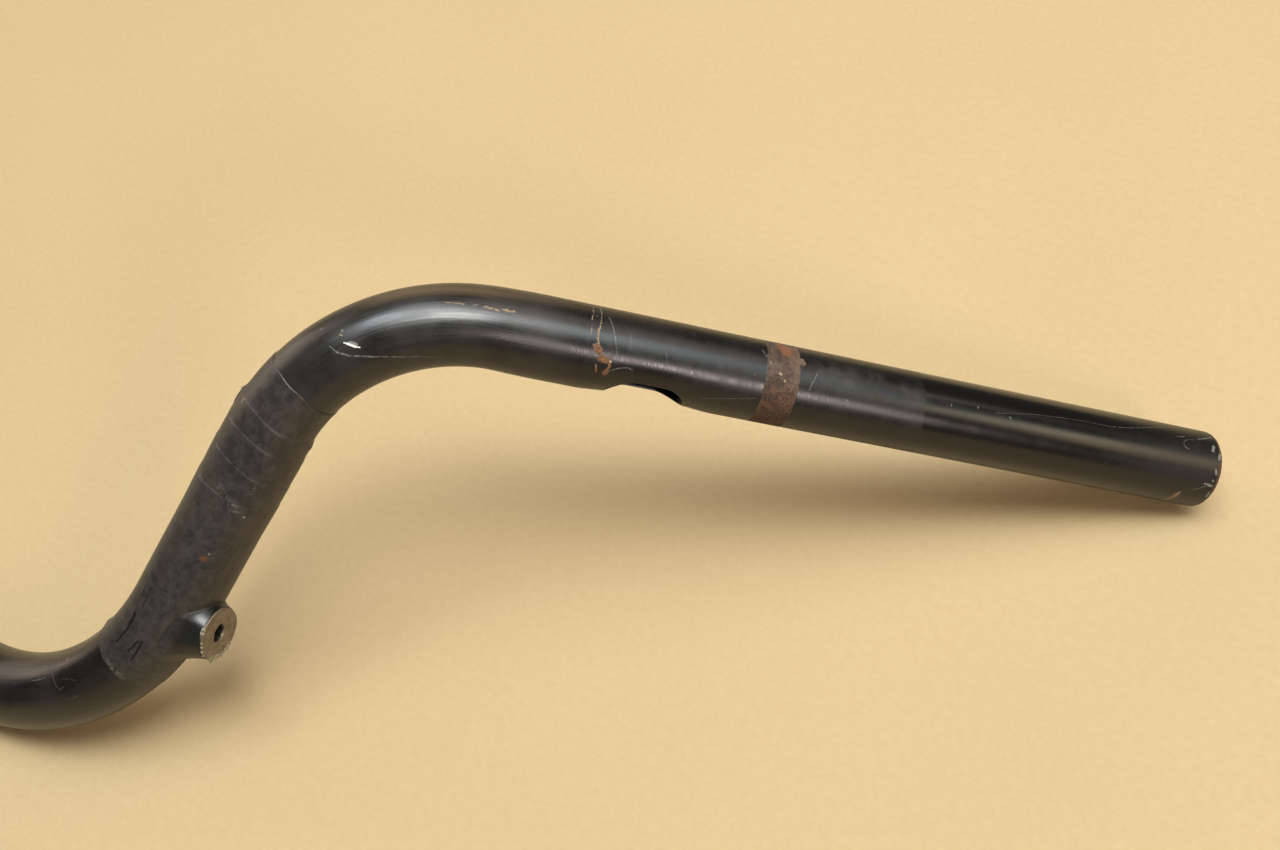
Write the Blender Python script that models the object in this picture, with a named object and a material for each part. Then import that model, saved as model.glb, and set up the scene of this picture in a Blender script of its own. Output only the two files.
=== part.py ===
"""Motorcycle handlebar: a bent steel tube with welded bosses and a tape wrap.

The bar lies as it does on a table top: on its centre section and on its two open ends.
X runs along the centre section and X = 0 is the mid plane, +Y is the side to which the
grips sweep, and Z = 0 is the table. The right half is the one on the +X side.
All lengths are in metres.
"""
import math

import bmesh
import bpy
from mathutils import Vector

MM = 0.001
X_AXIS = Vector((1.0, 0.0, 0.0))
Z_AXIS = Vector((0.0, 0.0, 1.0))

# Tube section.
TUBE_RADIUS = 11.1 * MM
WALL = 2.3 * MM
BORE_RADIUS = TUBE_RADIUS - WALL
END_ROUNDING = 1.5 * MM

# Centreline of the right half: the corners where its straight runs would meet.
CENTRE_TO_CORNER_1 = 125.0 * MM
CORNER_1_TO_2 = Vector((37.0, 116.0, 94.0)) * MM
CORNER_2_TO_END_X = 200.0 * MM
CORNER_2_TO_END_Y = 110.5 * MM
BEND_1_RADIUS = 72.5 * MM
BEND_2_RADIUS = 55.0 * MM

# Slots for the switch wires, one in each grip run, measured from the bar's end.
WIRE_SLOT_LENGTH = 23.0 * MM
WIRE_SLOT_WIDTH = 14.5 * MM
WIRE_SLOT_TO_END = 167.0 * MM
WIRE_SLOT_ANGLE = math.radians(-123.3)

# Slot in the middle of the bar where the wires come out again.
EXIT_SLOT_LENGTH = 24.0 * MM
EXIT_SLOT_WIDTH = 12.0 * MM

# Sawn-off boss on each riser, and the weld round its foot.
BOSS_RADIUS = 7.3 * MM
BOSS_HOLE_RADIUS = 2.4 * MM
BOSS_REACH = 16.5 * MM
BOSS_FROM_CORNER_1 = 50.5 * MM
BOSS_AXIS = Vector((0.987, 0.160, -0.030)).normalized()
WELD_MAX_WIDTH = 3.2 * MM
WELD_BELOW_FACE = 1.0 * MM

# Tape wrapped round the right riser, measured from the bar's end along the tube.
TAPE_FROM_END = 261.0 * MM
TAPE_TO_END = 356.0 * MM
TAPE_THICKNESS = 0.5 * MM

# Clearance between separate solids, and the fineness of the round shapes.
GAP = 0.3 * MM
SIDES = 24
BEND_STEPS = 16
ROUNDING_STEPS = 3
SLOT_ARC_STEPS = 10
BOSS_SIDES = 32
SHARP_ANGLE = math.radians(35.0)


# ---------------------------------------------------------------- scene helpers

def clear_scene():
    for obj in list(bpy.data.objects):
        bpy.data.objects.remove(obj, do_unlink=True)


def make_material(name, colour, roughness, metallic):
    material = bpy.data.materials.new(name)
    material.use_nodes = True
    shader = material.node_tree.nodes["Principled BSDF"]
    shader.inputs["Base Color"].default_value = (*colour, 1.0)
    shader.inputs["Roughness"].default_value = roughness
    shader.inputs["Metallic"].default_value = metallic
    return material


def make_object(name, bm, parent, material=None):
    """Turn a bmesh into a named object that is shaded smooth between its sharp edges."""
    bmesh.ops.recalc_face_normals(bm, faces=bm.faces)
    mesh = bpy.data.meshes.new(name)
    bm.to_mesh(mesh)
    bm.free()
    mesh.shade_smooth()
    mesh.set_sharp_from_angle(angle=SHARP_ANGLE)
    obj = bpy.data.objects.new(name, mesh)
    bpy.context.scene.collection.objects.link(obj)
    obj.parent = parent
    if material is not None:
        mesh.materials.append(material)
    return obj


def make_cutter(name, bm, parent):
    cutter = make_object(name, bm, parent)
    cutter.hide_render = True
    cutter.display_type = "WIRE"
    return cutter


def cut(obj, cutter):
    boolean = obj.modifiers.new("cut by " + cutter.name, "BOOLEAN")
    boolean.operation = "DIFFERENCE"
    boolean.solver = "EXACT"
    boolean.object = cutter


def mirrored(bm, side):
    """Flip a right-hand shape over to the left half when side is -1."""
    if side < 0:
        for vert in bm.verts:
            vert.co.x = -vert.co.x
    return bm


# ------------------------------------------------------------------- centreline

def end_height(rise):
    """Height of the end's centre when the rounded rim just touches the table."""
    run = math.hypot(CORNER_2_TO_END_X, CORNER_2_TO_END_Y)
    height = TUBE_RADIUS
    for _ in range(12):
        slope = math.atan2(rise - height, run)
        flat = (TUBE_RADIUS - END_ROUNDING) * math.cos(slope)
        height = flat + END_ROUNDING * (1.0 - math.sin(slope))
    return height


def corner_points():
    """The start, the two corners and the end of the right half's centreline."""
    start = Vector((0.0, 0.0, TUBE_RADIUS))
    corner_1 = start + X_AXIS * CENTRE_TO_CORNER_1
    corner_2 = corner_1 + CORNER_1_TO_2
    end = corner_2 + Vector((CORNER_2_TO_END_X, CORNER_2_TO_END_Y, 0.0))
    end.z = end_height(corner_2.z)
    return start, corner_1, corner_2, end


def bend_stations(corner, before, after, radius):
    """Points and headings round a bend that is tangent to both straight runs."""
    turn = before.angle(after)
    inward = (after - before * before.dot(after)).normalized()
    first = corner - before * radius * math.tan(turn / 2.0)
    centre = first + inward * radius
    stations = []
    for step in range(BEND_STEPS + 1):
        angle = turn * step / BEND_STEPS
        point = centre + radius * (math.sin(angle) * before - math.cos(angle) * inward)
        heading = math.cos(angle) * before + math.sin(angle) * inward
        stations.append((point, heading))
    return stations


def centreline():
    """(point, heading) pairs from the mid plane to the right end."""
    start, corner_1, corner_2, end = corner_points()
    riser = (corner_2 - corner_1).normalized()
    grip = (end - corner_2).normalized()
    return (
        [(start, X_AXIS)]
        + bend_stations(corner_1, X_AXIS, riser, BEND_1_RADIUS)
        + bend_stations(corner_2, riser, grip, BEND_2_RADIUS)
        + [(end, grip)]
    )


def station_at(distance_to_end):
    """The (point, heading) that lies this far from the end along the tube."""
    path = centreline()
    left = distance_to_end
    for (near, heading), (far, heading_far) in zip(path[::-1], path[-2::-1]):
        step = (far - near).length
        if left <= step:
            share = left / step
            return near.lerp(far, share), heading.lerp(heading_far, share).normalized()
        left -= step
    raise ValueError("the bar is shorter than that")


def path_between(longer, shorter):
    """The part of the centreline between two distances from the end."""
    path = centreline()
    kept = []
    travelled = 0.0
    previous = path[-1][0]
    for point, heading in reversed(path):
        travelled += (point - previous).length
        previous = point
        if shorter < travelled < longer:
            kept.append((point, heading))
    return [station_at(longer)] + kept[::-1] + [station_at(shorter)]


def cross_axes(heading):
    """Up and sideways directions across the tube; angles are counted from up."""
    up = (Z_AXIS - heading * heading.z).normalized()
    return up, up.cross(heading)


def around(heading, angle):
    up, side = cross_axes(heading)
    return up * math.cos(angle) + side * math.sin(angle)


# ----------------------------------------------------------------- mesh helpers

def add_ring(bm, point, heading, radius):
    angles = [2.0 * math.pi * i / SIDES for i in range(SIDES)]
    return [bm.verts.new(point + around(heading, angle) * radius) for angle in angles]


def bridge(bm, ring_a, ring_b):
    count = len(ring_a)
    for i in range(count):
        j = (i + 1) % count
        bm.faces.new((ring_a[i], ring_a[j], ring_b[j], ring_b[i]))


def bridge_all(bm, rings, closed=False):
    for ring_a, ring_b in zip(rings, rings[1:]):
        bridge(bm, ring_a, ring_b)
    if closed:
        bridge(bm, rings[-1], rings[0])


def rod_along(path, radius):
    """A closed rod that follows the path."""
    bm = bmesh.new()
    rings = [add_ring(bm, point, heading, radius) for point, heading in path]
    bridge_all(bm, rings)
    bm.faces.new(rings[0])
    bm.faces.new(rings[-1])
    return bm


def slot_prism(centre, length_axis, depth_axis, length, width, low, high):
    """A prism with round ends, running from low to high along depth_axis."""
    width_axis = depth_axis.cross(length_axis)
    radius = width / 2.0
    outline = []
    for direction in (1.0, -1.0):
        for step in range(SLOT_ARC_STEPS + 1):
            angle = math.pi * (step / SLOT_ARC_STEPS - 0.5)
            along = direction * (length / 2.0 - radius + radius * math.cos(angle))
            across = direction * radius * math.sin(angle)
            outline.append(length_axis * along + width_axis * across)
    bm = bmesh.new()
    rings = [
        [bm.verts.new(centre + offset + depth_axis * depth) for offset in outline]
        for depth in (low, high)
    ]
    bridge_all(bm, rings)
    bm.faces.new(rings[0])
    bm.faces.new(rings[1])
    return bm


def ring_across(bm, centre, axis, radius):
    """A ring of the boss's fineness round an axis."""
    first = axis.orthogonal().normalized()
    second = axis.cross(first)
    ring = []
    for i in range(BOSS_SIDES):
        angle = 2.0 * math.pi * i / BOSS_SIDES
        offset = first * math.cos(angle) + second * math.sin(angle)
        ring.append(bm.verts.new(centre + offset * radius))
    return ring


# ------------------------------------------------------------------------- tube

def half_tube():
    """The right half's outer wall, rounded rim and bore, open at the mid plane."""
    path = centreline()
    end, grip = path[-1]
    bm = bmesh.new()
    rings = [add_ring(bm, point, heading, TUBE_RADIUS) for point, heading in path[:-1]]
    for step in range(ROUNDING_STEPS + 1):
        angle = math.pi / 2.0 * step / ROUNDING_STEPS
        centre = end - grip * END_ROUNDING * (1.0 - math.sin(angle))
        radius = TUBE_RADIUS - END_ROUNDING * (1.0 - math.cos(angle))
        rings.append(add_ring(bm, centre, grip, radius))
    rings += [add_ring(bm, point, heading, BORE_RADIUS) for point, heading in path[::-1]]
    bridge_all(bm, rings)
    return bm


def wire_slot(side):
    point, grip = station_at(WIRE_SLOT_TO_END)
    outward = around(grip, WIRE_SLOT_ANGLE)
    prism = slot_prism(
        point, grip, outward, WIRE_SLOT_LENGTH, WIRE_SLOT_WIDTH,
        0.4 * TUBE_RADIUS, 1.5 * TUBE_RADIUS,
    )
    return mirrored(prism, side)


def exit_slot():
    """The wires leave on the side that faces down when the bar is ridden."""
    start, _, corner_2, end = corner_points()
    down = X_AXIS.cross(end - corner_2)
    down.normalize()
    if down.z > 0.0:
        down.negate()
    return slot_prism(
        start, X_AXIS, down, EXIT_SLOT_LENGTH, EXIT_SLOT_WIDTH,
        0.4 * TUBE_RADIUS, 1.5 * TUBE_RADIUS,
    )


def build_tube(parent, paint):
    tube = make_object("bar_tube", half_tube(), parent, paint)
    mirror = tube.modifiers.new("left half", "MIRROR")
    mirror.use_axis = (True, False, False)
    mirror.merge_threshold = 0.00005
    cut(tube, make_cutter("cut_right_wire_slot", wire_slot(1), parent))
    cut(tube, make_cutter("cut_left_wire_slot", wire_slot(-1), parent))
    cut(tube, make_cutter("cut_exit_slot", exit_slot(), parent))


# ------------------------------------------------------- bosses and their welds

def boss_origin():
    """Where the boss's axis meets the riser's straight axis."""
    _, corner_1, corner_2, _ = corner_points()
    return corner_1 + (corner_2 - corner_1).normalized() * BOSS_FROM_CORNER_1


def distance_to_centreline(point):
    path = centreline()
    nearest = float("inf")
    for (a, _), (b, _) in zip(path, path[1:]):
        along = (b - a).normalized()
        share = min(max((point - a).dot(along), 0.0), (b - a).length)
        nearest = min(nearest, (point - a - along * share).length)
    return nearest


def height_on_tube(offset, clearance):
    """How far up the boss's direction the tube's surface lies at an offset from its axis."""
    origin = boss_origin() + offset
    low, high = 0.0, 2.0 * TUBE_RADIUS
    for _ in range(24):
        middle = (low + high) / 2.0
        if distance_to_centreline(origin + BOSS_AXIS * middle) < TUBE_RADIUS + clearance:
            low = middle
        else:
            high = middle
    return high


def boss_rod():
    """The boss as a thick-walled rod, long enough to be cut to the tube's shape."""
    face = boss_origin() + BOSS_AXIS * BOSS_REACH
    foot = boss_origin() + BOSS_AXIS * 0.25 * BOSS_REACH
    bm = bmesh.new()
    rings = [
        ring_across(bm, foot, BOSS_AXIS, BOSS_RADIUS),
        ring_across(bm, face, BOSS_AXIS, BOSS_RADIUS),
        ring_across(bm, face, BOSS_AXIS, BOSS_HOLE_RADIUS),
        ring_across(bm, foot, BOSS_AXIS, BOSS_HOLE_RADIUS),
    ]
    bridge_all(bm, rings, closed=True)
    return bm


def weld_section(direction):
    """Cross-section of the weld on one side of the boss, as offsets and heights."""
    inner = BOSS_RADIUS + GAP
    top = BOSS_REACH - WELD_BELOW_FACE
    root = height_on_tube(direction * inner, GAP)
    width = min(WELD_MAX_WIDTH, max(0.7 * (top - root), 0.8 * MM))
    foot = height_on_tube(direction * (inner + width), GAP)
    underside = height_on_tube(direction * (inner + 0.6 * width), GAP)
    middle_height = foot + 0.3 * (top - foot)
    return [
        (inner, root),
        (inner, max(top, root + 0.5 * MM)),
        (inner + 0.3 * width, max(middle_height, root + 0.4 * MM)),
        (inner + width, foot),
        (inner + 0.6 * width, underside),
    ]


def weld_ring():
    """A fillet that follows the saddle between the boss and the tube."""
    first = BOSS_AXIS.orthogonal().normalized()
    second = BOSS_AXIS.cross(first)
    bm = bmesh.new()
    columns = []
    for i in range(BOSS_SIDES):
        angle = 2.0 * math.pi * i / BOSS_SIDES
        direction = first * math.cos(angle) + second * math.sin(angle)
        columns.append([
            bm.verts.new(boss_origin() + direction * radius + BOSS_AXIS * height)
            for radius, height in weld_section(direction)
        ])
    bridge_all(bm, columns, closed=True)
    return bm


def riser_rod(side):
    """The tube's outside with clearance, along the stretch where a boss stands."""
    path = path_between(TAPE_TO_END + 30.0 * MM, TAPE_FROM_END)
    return mirrored(rod_along(path, TUBE_RADIUS + GAP), side)


def build_boss(prefix, side, parent, steel, paint):
    boss = make_object(prefix + "_boss", mirrored(boss_rod(), side), parent, steel)
    cut(boss, make_cutter("cut_" + prefix + "_riser", riser_rod(side), parent))
    make_object(prefix + "_boss_weld", mirrored(weld_ring(), side), parent, paint)


# ------------------------------------------------------------------------- tape

def tape_sleeve():
    path = path_between(TAPE_TO_END, TAPE_FROM_END)
    inner = TUBE_RADIUS + GAP
    bm = bmesh.new()
    outside = [add_ring(bm, point, heading, inner + TAPE_THICKNESS) for point, heading in path]
    inside = [add_ring(bm, point, heading, inner) for point, heading in path[::-1]]
    bridge_all(bm, outside + inside, closed=True)
    return bm


def boss_opening():
    """Room in the tape for the boss and its weld."""
    radius = BOSS_RADIUS + WELD_MAX_WIDTH + 2.0 * GAP
    bm = bmesh.new()
    foot = boss_origin() + BOSS_AXIS * 0.1 * BOSS_REACH
    top = boss_origin() + BOSS_AXIS * 1.5 * BOSS_REACH
    rings = [ring_across(bm, foot, BOSS_AXIS, radius), ring_across(bm, top, BOSS_AXIS, radius)]
    bridge_all(bm, rings)
    bm.faces.new(rings[0])
    bm.faces.new(rings[1])
    return bm


def build_tape(parent, tape):
    sleeve = make_object("right_riser_tape", tape_sleeve(), parent, tape)
    cut(sleeve, make_cutter("cut_tape_opening", boss_opening(), parent))


# --------------------------------------------------------------------- assembly

def overall_depth():
    """From the front of the centre section to the farthest point of the rounded end."""
    _, _, corner_2, end = corner_points()
    grip = (end - corner_2).normalized()
    centre = end - grip * END_ROUNDING
    reach = (TUBE_RADIUS - END_ROUNDING) * math.sqrt(1.0 - grip.y ** 2) + END_ROUNDING
    return TUBE_RADIUS + centre.y + reach


def main():
    clear_scene()
    handlebar = bpy.data.objects.new("handlebar", None)
    bpy.context.scene.collection.objects.link(handlebar)
    handlebar.location.y = TUBE_RADIUS - overall_depth() / 2.0
    paint = make_material("black_paint", (0.030, 0.027, 0.026), 0.35, 0.0)
    steel = make_material("sawn_steel", (0.36, 0.31, 0.25), 0.45, 0.9)
    tape = make_material("black_tape", (0.035, 0.031, 0.029), 0.55, 0.0)
    build_tube(handlebar, paint)
    for prefix, side in (("right", 1), ("left", -1)):
        build_boss(prefix, side, handlebar, steel, paint)
    build_tape(handlebar, tape)


main()
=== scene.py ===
"""Looks for a used motorcycle handlebar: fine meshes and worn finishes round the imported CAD.

The bar lies on a pale floor. A place on it is named by its distance along the tube and by
its angle round the tube. The distance is counted from the mid plane, positive on the right
half, or from the bar's end where a name says so. The angle is counted from the upper side,
positive towards the side to which the grips sweep. Lengths are in metres in the meshes and
in millimetres in the materials.
"""
import math

import bpy
import numpy as np
from mathutils import Matrix, Vector


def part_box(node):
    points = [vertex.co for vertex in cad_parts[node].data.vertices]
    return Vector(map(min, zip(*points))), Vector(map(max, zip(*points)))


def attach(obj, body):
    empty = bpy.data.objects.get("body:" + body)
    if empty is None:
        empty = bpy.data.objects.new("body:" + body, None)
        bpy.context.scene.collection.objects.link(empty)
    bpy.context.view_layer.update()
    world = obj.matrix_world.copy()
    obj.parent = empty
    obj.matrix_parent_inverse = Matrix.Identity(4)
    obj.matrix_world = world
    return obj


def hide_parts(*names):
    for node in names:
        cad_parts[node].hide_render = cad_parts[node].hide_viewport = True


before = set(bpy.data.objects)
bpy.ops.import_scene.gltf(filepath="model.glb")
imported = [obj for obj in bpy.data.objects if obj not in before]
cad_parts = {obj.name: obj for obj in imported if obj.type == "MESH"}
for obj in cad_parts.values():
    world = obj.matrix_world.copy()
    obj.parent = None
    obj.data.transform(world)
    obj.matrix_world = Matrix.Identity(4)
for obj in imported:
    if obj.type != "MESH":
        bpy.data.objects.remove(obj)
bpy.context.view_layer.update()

MM = 0.001

# The tube, as the CAD has it.
TUBE_RADIUS = 11.1 * MM
WALL = 2.3 * MM
END_ROUNDING = 1.5 * MM
CENTRE_TO_CORNER_1 = 125.0 * MM
CORNER_1_TO_2 = np.array((37.0, 116.0, 94.0)) * MM
CORNER_2_TO_END = np.array((200.0, 110.5)) * MM
BEND_1_RADIUS = 72.5 * MM
BEND_2_RADIUS = 55.0 * MM

# Slots, as (length, width) inside their rounded lips, and places. The wire slots are fitted
# to the crescent that the photo shows, so they differ a little from the CAD's.
WIRE_SLOT = (21.8 * MM, 14.7 * MM)
WIRE_SLOT_TO_END = 166.7 * MM
WIRE_SLOT_ANGLE = math.radians(-122.6)
EXIT_SLOT = (23.2 * MM, 11.2 * MM)
SLOT_LIP = 0.3 * MM
SLOT_MARGIN = 6.5 * MM

# Boss on each riser.
BOSS_RADIUS = 7.3 * MM
BOSS_HOLE_RADIUS = 2.4 * MM
BOSS_REACH = 16.5 * MM
BOSS_FROM_CORNER_1 = 50.5 * MM
BOSS_AXIS = np.array((0.987, 0.160, -0.030))
BOSS_AXIS /= np.linalg.norm(BOSS_AXIS)

# Fineness of the tube's mesh, and its runs from the end that show wear or bend.
SIDES = 120
SEAM_ANGLE = math.radians(-260.0)
END_STEP = 0.7 * MM
WORN_STEP = 1.1 * MM
BEND_STEP = 1.6 * MM
COARSE_STEP = 2.6 * MM
BORE_STEP = 9.0 * MM
END_RUN = 8.0 * MM
WORN_RUNS = ((120.0 * MM, 192.0 * MM), (236.0 * MM, 254.0 * MM))
BEND_RUNS = ((205.0 * MM, 279.0 * MM), (332.0 * MM, 432.0 * MM))


# ---------------------------------------------------------------------- the tube's course

def smooth(value, low, high):
    """A soft step from 0 at low to 1 at high."""
    share = np.clip((value - low) / (high - low), 0.0, 1.0)
    return share * share * (3.0 - 2.0 * share)


def unit(vector):
    return vector / np.linalg.norm(vector)


def end_height(rise):
    """Height of the end's centre when the rounded rim just touches the floor."""
    run = np.linalg.norm(CORNER_2_TO_END)
    height = TUBE_RADIUS
    for _ in range(12):
        slope = math.atan2(rise - height, run)
        flat = (TUBE_RADIUS - END_ROUNDING) * math.cos(slope)
        height = flat + END_ROUNDING * (1.0 - math.sin(slope))
    return height


class Bar:
    """The tube's centreline: three straight runs joined by two bends, mirrored on the left."""

    SAMPLE = 0.25 * MM
    RAMP = 15.0 * MM

    def __init__(self, start):
        self.corner_1 = start + np.array((CENTRE_TO_CORNER_1, 0.0, 0.0))
        self.corner_2 = self.corner_1 + CORNER_1_TO_2
        end = self.corner_2 + np.array((*CORNER_2_TO_END, 0.0))
        end[2] = end_height(self.corner_2[2])
        self.points, self.headings, self.inward, self.bends = [], [], [], []
        middle, riser, grip = (1.0, 0.0, 0.0), unit(CORNER_1_TO_2), unit(end - self.corner_2)
        self.riser, self.grip = riser, grip
        point = self.run(start, self.corner_1, np.array(middle), riser, BEND_1_RADIUS)
        point = self.run(point, self.corner_2, riser, grip, BEND_2_RADIUS)
        self.straight(point, end, grip)
        self.points.append(end)
        self.headings.append(grip)
        self.inward.append(np.zeros(3))
        self.points = np.array(self.points)
        self.headings = np.array(self.headings)
        self.inward = np.array(self.inward)
        steps = np.linalg.norm(np.diff(self.points, axis=0), axis=1)
        self.distances = np.concatenate(([0.0], np.cumsum(steps)))
        self.half_length = self.distances[-1]
        self.spread_bends()

    def straight(self, start, stop, heading):
        length = np.linalg.norm(stop - start)
        for place in np.arange(0.0, length, self.SAMPLE):
            self.points.append(start + heading * place)
            self.headings.append(heading)
            self.inward.append(np.zeros(3))

    def run(self, start, corner, before, after, radius):
        """A straight run and the bend at its far end. Returns the point where the bend ends."""
        turn = math.acos(float(before @ after))
        inward = unit(after - before * (before @ after))
        first = corner - before * radius * math.tan(turn / 2.0)
        self.straight(start, first, before)
        centre = first + inward * radius
        start = len(self.points)
        for angle in np.arange(0.0, turn, self.SAMPLE / radius):
            towards = before * math.sin(angle) - inward * math.cos(angle)
            self.points.append(centre + towards * radius)
            self.headings.append(before * math.cos(angle) + inward * math.sin(angle))
            self.inward.append(-towards)
        self.bends.append((start, len(self.points) - 1))
        return corner + after * radius * math.tan(turn / 2.0)

    def spread_bends(self):
        """Let the way each bend faces fade out over the straight runs beside it."""
        inward = np.zeros_like(self.points)
        for (first, last), share in zip(self.bends, (0.45, 1.0)):
            near = np.clip(np.arange(len(self.points)), first, last)
            start, stop = self.distances[first], self.distances[last]
            rise = smooth(self.distances, start - self.RAMP, start + 0.4 * self.RAMP)
            fall = 1.0 - smooth(self.distances, stop - 0.4 * self.RAMP, stop + self.RAMP)
            inward += self.inward[near] * (share * rise * fall)[:, None]
        self.inward = inward

    def read(self, table, along):
        """The table's rows at these distances from the mid plane, on the right half."""
        place = np.abs(along)
        return np.stack([np.interp(place, self.distances, column) for column in table.T], -1)

    def cross_axes(self, along):
        """Up and sideways across the tube on the right half."""
        heading = self.read(self.headings, along)
        heading /= np.linalg.norm(heading, axis=-1, keepdims=True)
        up = np.array((0.0, 0.0, 1.0)) - heading * heading[..., 2:]
        up /= np.linalg.norm(up, axis=-1, keepdims=True)
        return up, np.cross(up, heading)

    def outward(self, along, angle):
        up, side = self.cross_axes(along)
        return up * np.cos(angle)[..., None] + side * np.sin(angle)[..., None]

    def surface(self, along, angle, radius):
        """Points at a distance from the axis; a negative place along is on the left half."""
        along, angle, radius = np.broadcast_arrays(along, angle, radius)
        point = self.read(self.points, along) + self.outward(along, angle) * radius[..., None]
        point[..., 0] *= np.where(along < 0.0, -1.0, 1.0)
        return point

    def from_end(self, distance, side=1):
        """The place along the bar that lies this far from an end."""
        return side * (self.half_length - distance)

    def bend_share(self, along, angle):
        """How far a direction lies in the plane of the bend, times how much the tube bends."""
        facing = (self.outward(along, angle) * self.read(self.inward, along)).sum(-1)
        bending = (self.read(self.inward, along) ** 2).sum(-1)
        return facing ** 2, bending


lowest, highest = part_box("bar_tube")
BAR = Bar(np.array((0.0, lowest.y + TUBE_RADIUS, lowest.z + TUBE_RADIUS)))


# ------------------------------------------------------------------------- mesh helpers

class Skin:
    """Vertices by place along the bar, angle round it and distance from its axis."""

    def __init__(self):
        self.along, self.angle, self.radius, self.faces, self.count = [], [], [], [], 0

    def add(self, along, angle, radius):
        """New vertices; returns their numbers in the shape of the given arrays."""
        along, angle, radius = np.broadcast_arrays(along, angle, radius)
        for kept, values in ((self.along, along), (self.angle, angle), (self.radius, radius)):
            kept.append(np.ravel(values).astype(float))
        numbers = np.arange(self.count, self.count + along.size).reshape(along.shape)
        self.count += along.size
        return numbers

    def join(self, row_a, row_b, keep=None):
        """Quads between two closed rows of vertices."""
        quads = np.stack((row_a, np.roll(row_a, -1), np.roll(row_b, -1), row_b), -1)
        self.faces.append(quads if keep is None else quads[keep])

    def build(self, name, material):
        along, angle, radius = (np.concatenate(v) for v in (self.along, self.angle, self.radius))
        points = BAR.surface(along, angle, radius)
        obj = mesh_object(name, points, np.concatenate(self.faces), material)
        stamp_place(obj.data, along, angle, radius)
        return obj


def mesh_object(name, points, faces, material):
    mesh = bpy.data.meshes.new(name)
    mesh.from_pydata(points.tolist(), [], [list(map(int, face)) for face in faces])
    mesh.materials.append(material)
    mesh.shade_smooth()
    obj = bpy.data.objects.new(name, mesh)
    bpy.context.scene.collection.objects.link(obj)
    return obj


def stamp_place(mesh, along, angle, radius):
    """Stores each vertex's place on an unbent tube, in millimetres, for the materials."""
    place = np.stack((along, radius * np.cos(angle), radius * np.sin(angle)), -1) / MM
    attribute = mesh.attributes.new("bar_place", "FLOAT_VECTOR", "POINT")
    attribute.data.foreach_set("vector", place.astype(np.float32).ravel())


def stamp_number(mesh, name, values):
    """Stores one number per vertex for the materials."""
    attribute = mesh.attributes.new(name, "FLOAT", "POINT")
    attribute.data.foreach_set("value", np.ravel(values).astype(np.float32))


# -------------------------------------------------------------------- shape of the tube

def slot_distance(along, angle, place, slot_angle, size):
    """Distance over the surface from a slot's edge, negative inside the slot."""
    length, width = size
    straight = (length - width) / 2.0
    beside = np.abs(along - place)
    turn = (angle - slot_angle + math.pi) % (2.0 * math.pi) - math.pi
    return np.hypot(np.maximum(beside - straight, 0.0), TUBE_RADIUS * turn) - width / 2.0


def dish_depth(along, angle):
    """How far the punch has pressed the metal in round each wire slot."""
    depth = 0.0
    for side in (1, -1):
        place = BAR.from_end(WIRE_SLOT_TO_END, side)
        edge = slot_distance(along, angle, place, WIRE_SLOT_ANGLE, WIRE_SLOT)
        depth = depth + 0.65 * MM * (1.0 - smooth(edge, -2.5 * MM, 8.3 * MM))
    return depth


def waviness(along, angle):
    """The slight unevenness of a drawn and bent tube."""
    long_wave = np.sin(along / (23.0 * MM) + 2.0 * np.cos(angle))
    short_wave = np.sin(along / (7.7 * MM) + 3.0 * np.sin(angle + 0.6))
    return 0.014 * MM * long_wave + 0.006 * MM * short_wave


def wall_shift(along, angle):
    """Change of the tube's radius at a place: bends go oval, slots are dished."""
    facing, bending = BAR.bend_share(along, angle)
    oval = TUBE_RADIUS * (0.018 * bending - 0.058 * facing)
    return oval - dish_depth(along, angle) + waviness(along, angle)


def slot_outline(along, angle, place, slot_angle, size):
    """Where rays from a slot's middle through these places cross the slot's outline."""
    length, width = size
    straight, half = (length - width) / 2.0, width / 2.0
    across = TUBE_RADIUS * np.sin(np.clip(angle - slot_angle, -1.5, 1.5))
    ray = np.stack((along - place, across), -1)
    ray /= np.linalg.norm(ray, axis=-1, keepdims=True)
    ends = np.abs(ray[:, 0]) * straight
    reach = ends + np.sqrt(np.maximum(half ** 2 - (np.abs(ray[:, 1]) * straight) ** 2, 0.0))
    flat = half / np.maximum(np.abs(ray[:, 1]), 1e-9)
    on_side = flat * np.abs(ray[:, 0]) < straight
    return np.where(on_side, flat, reach)[:, None] * ray


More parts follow.
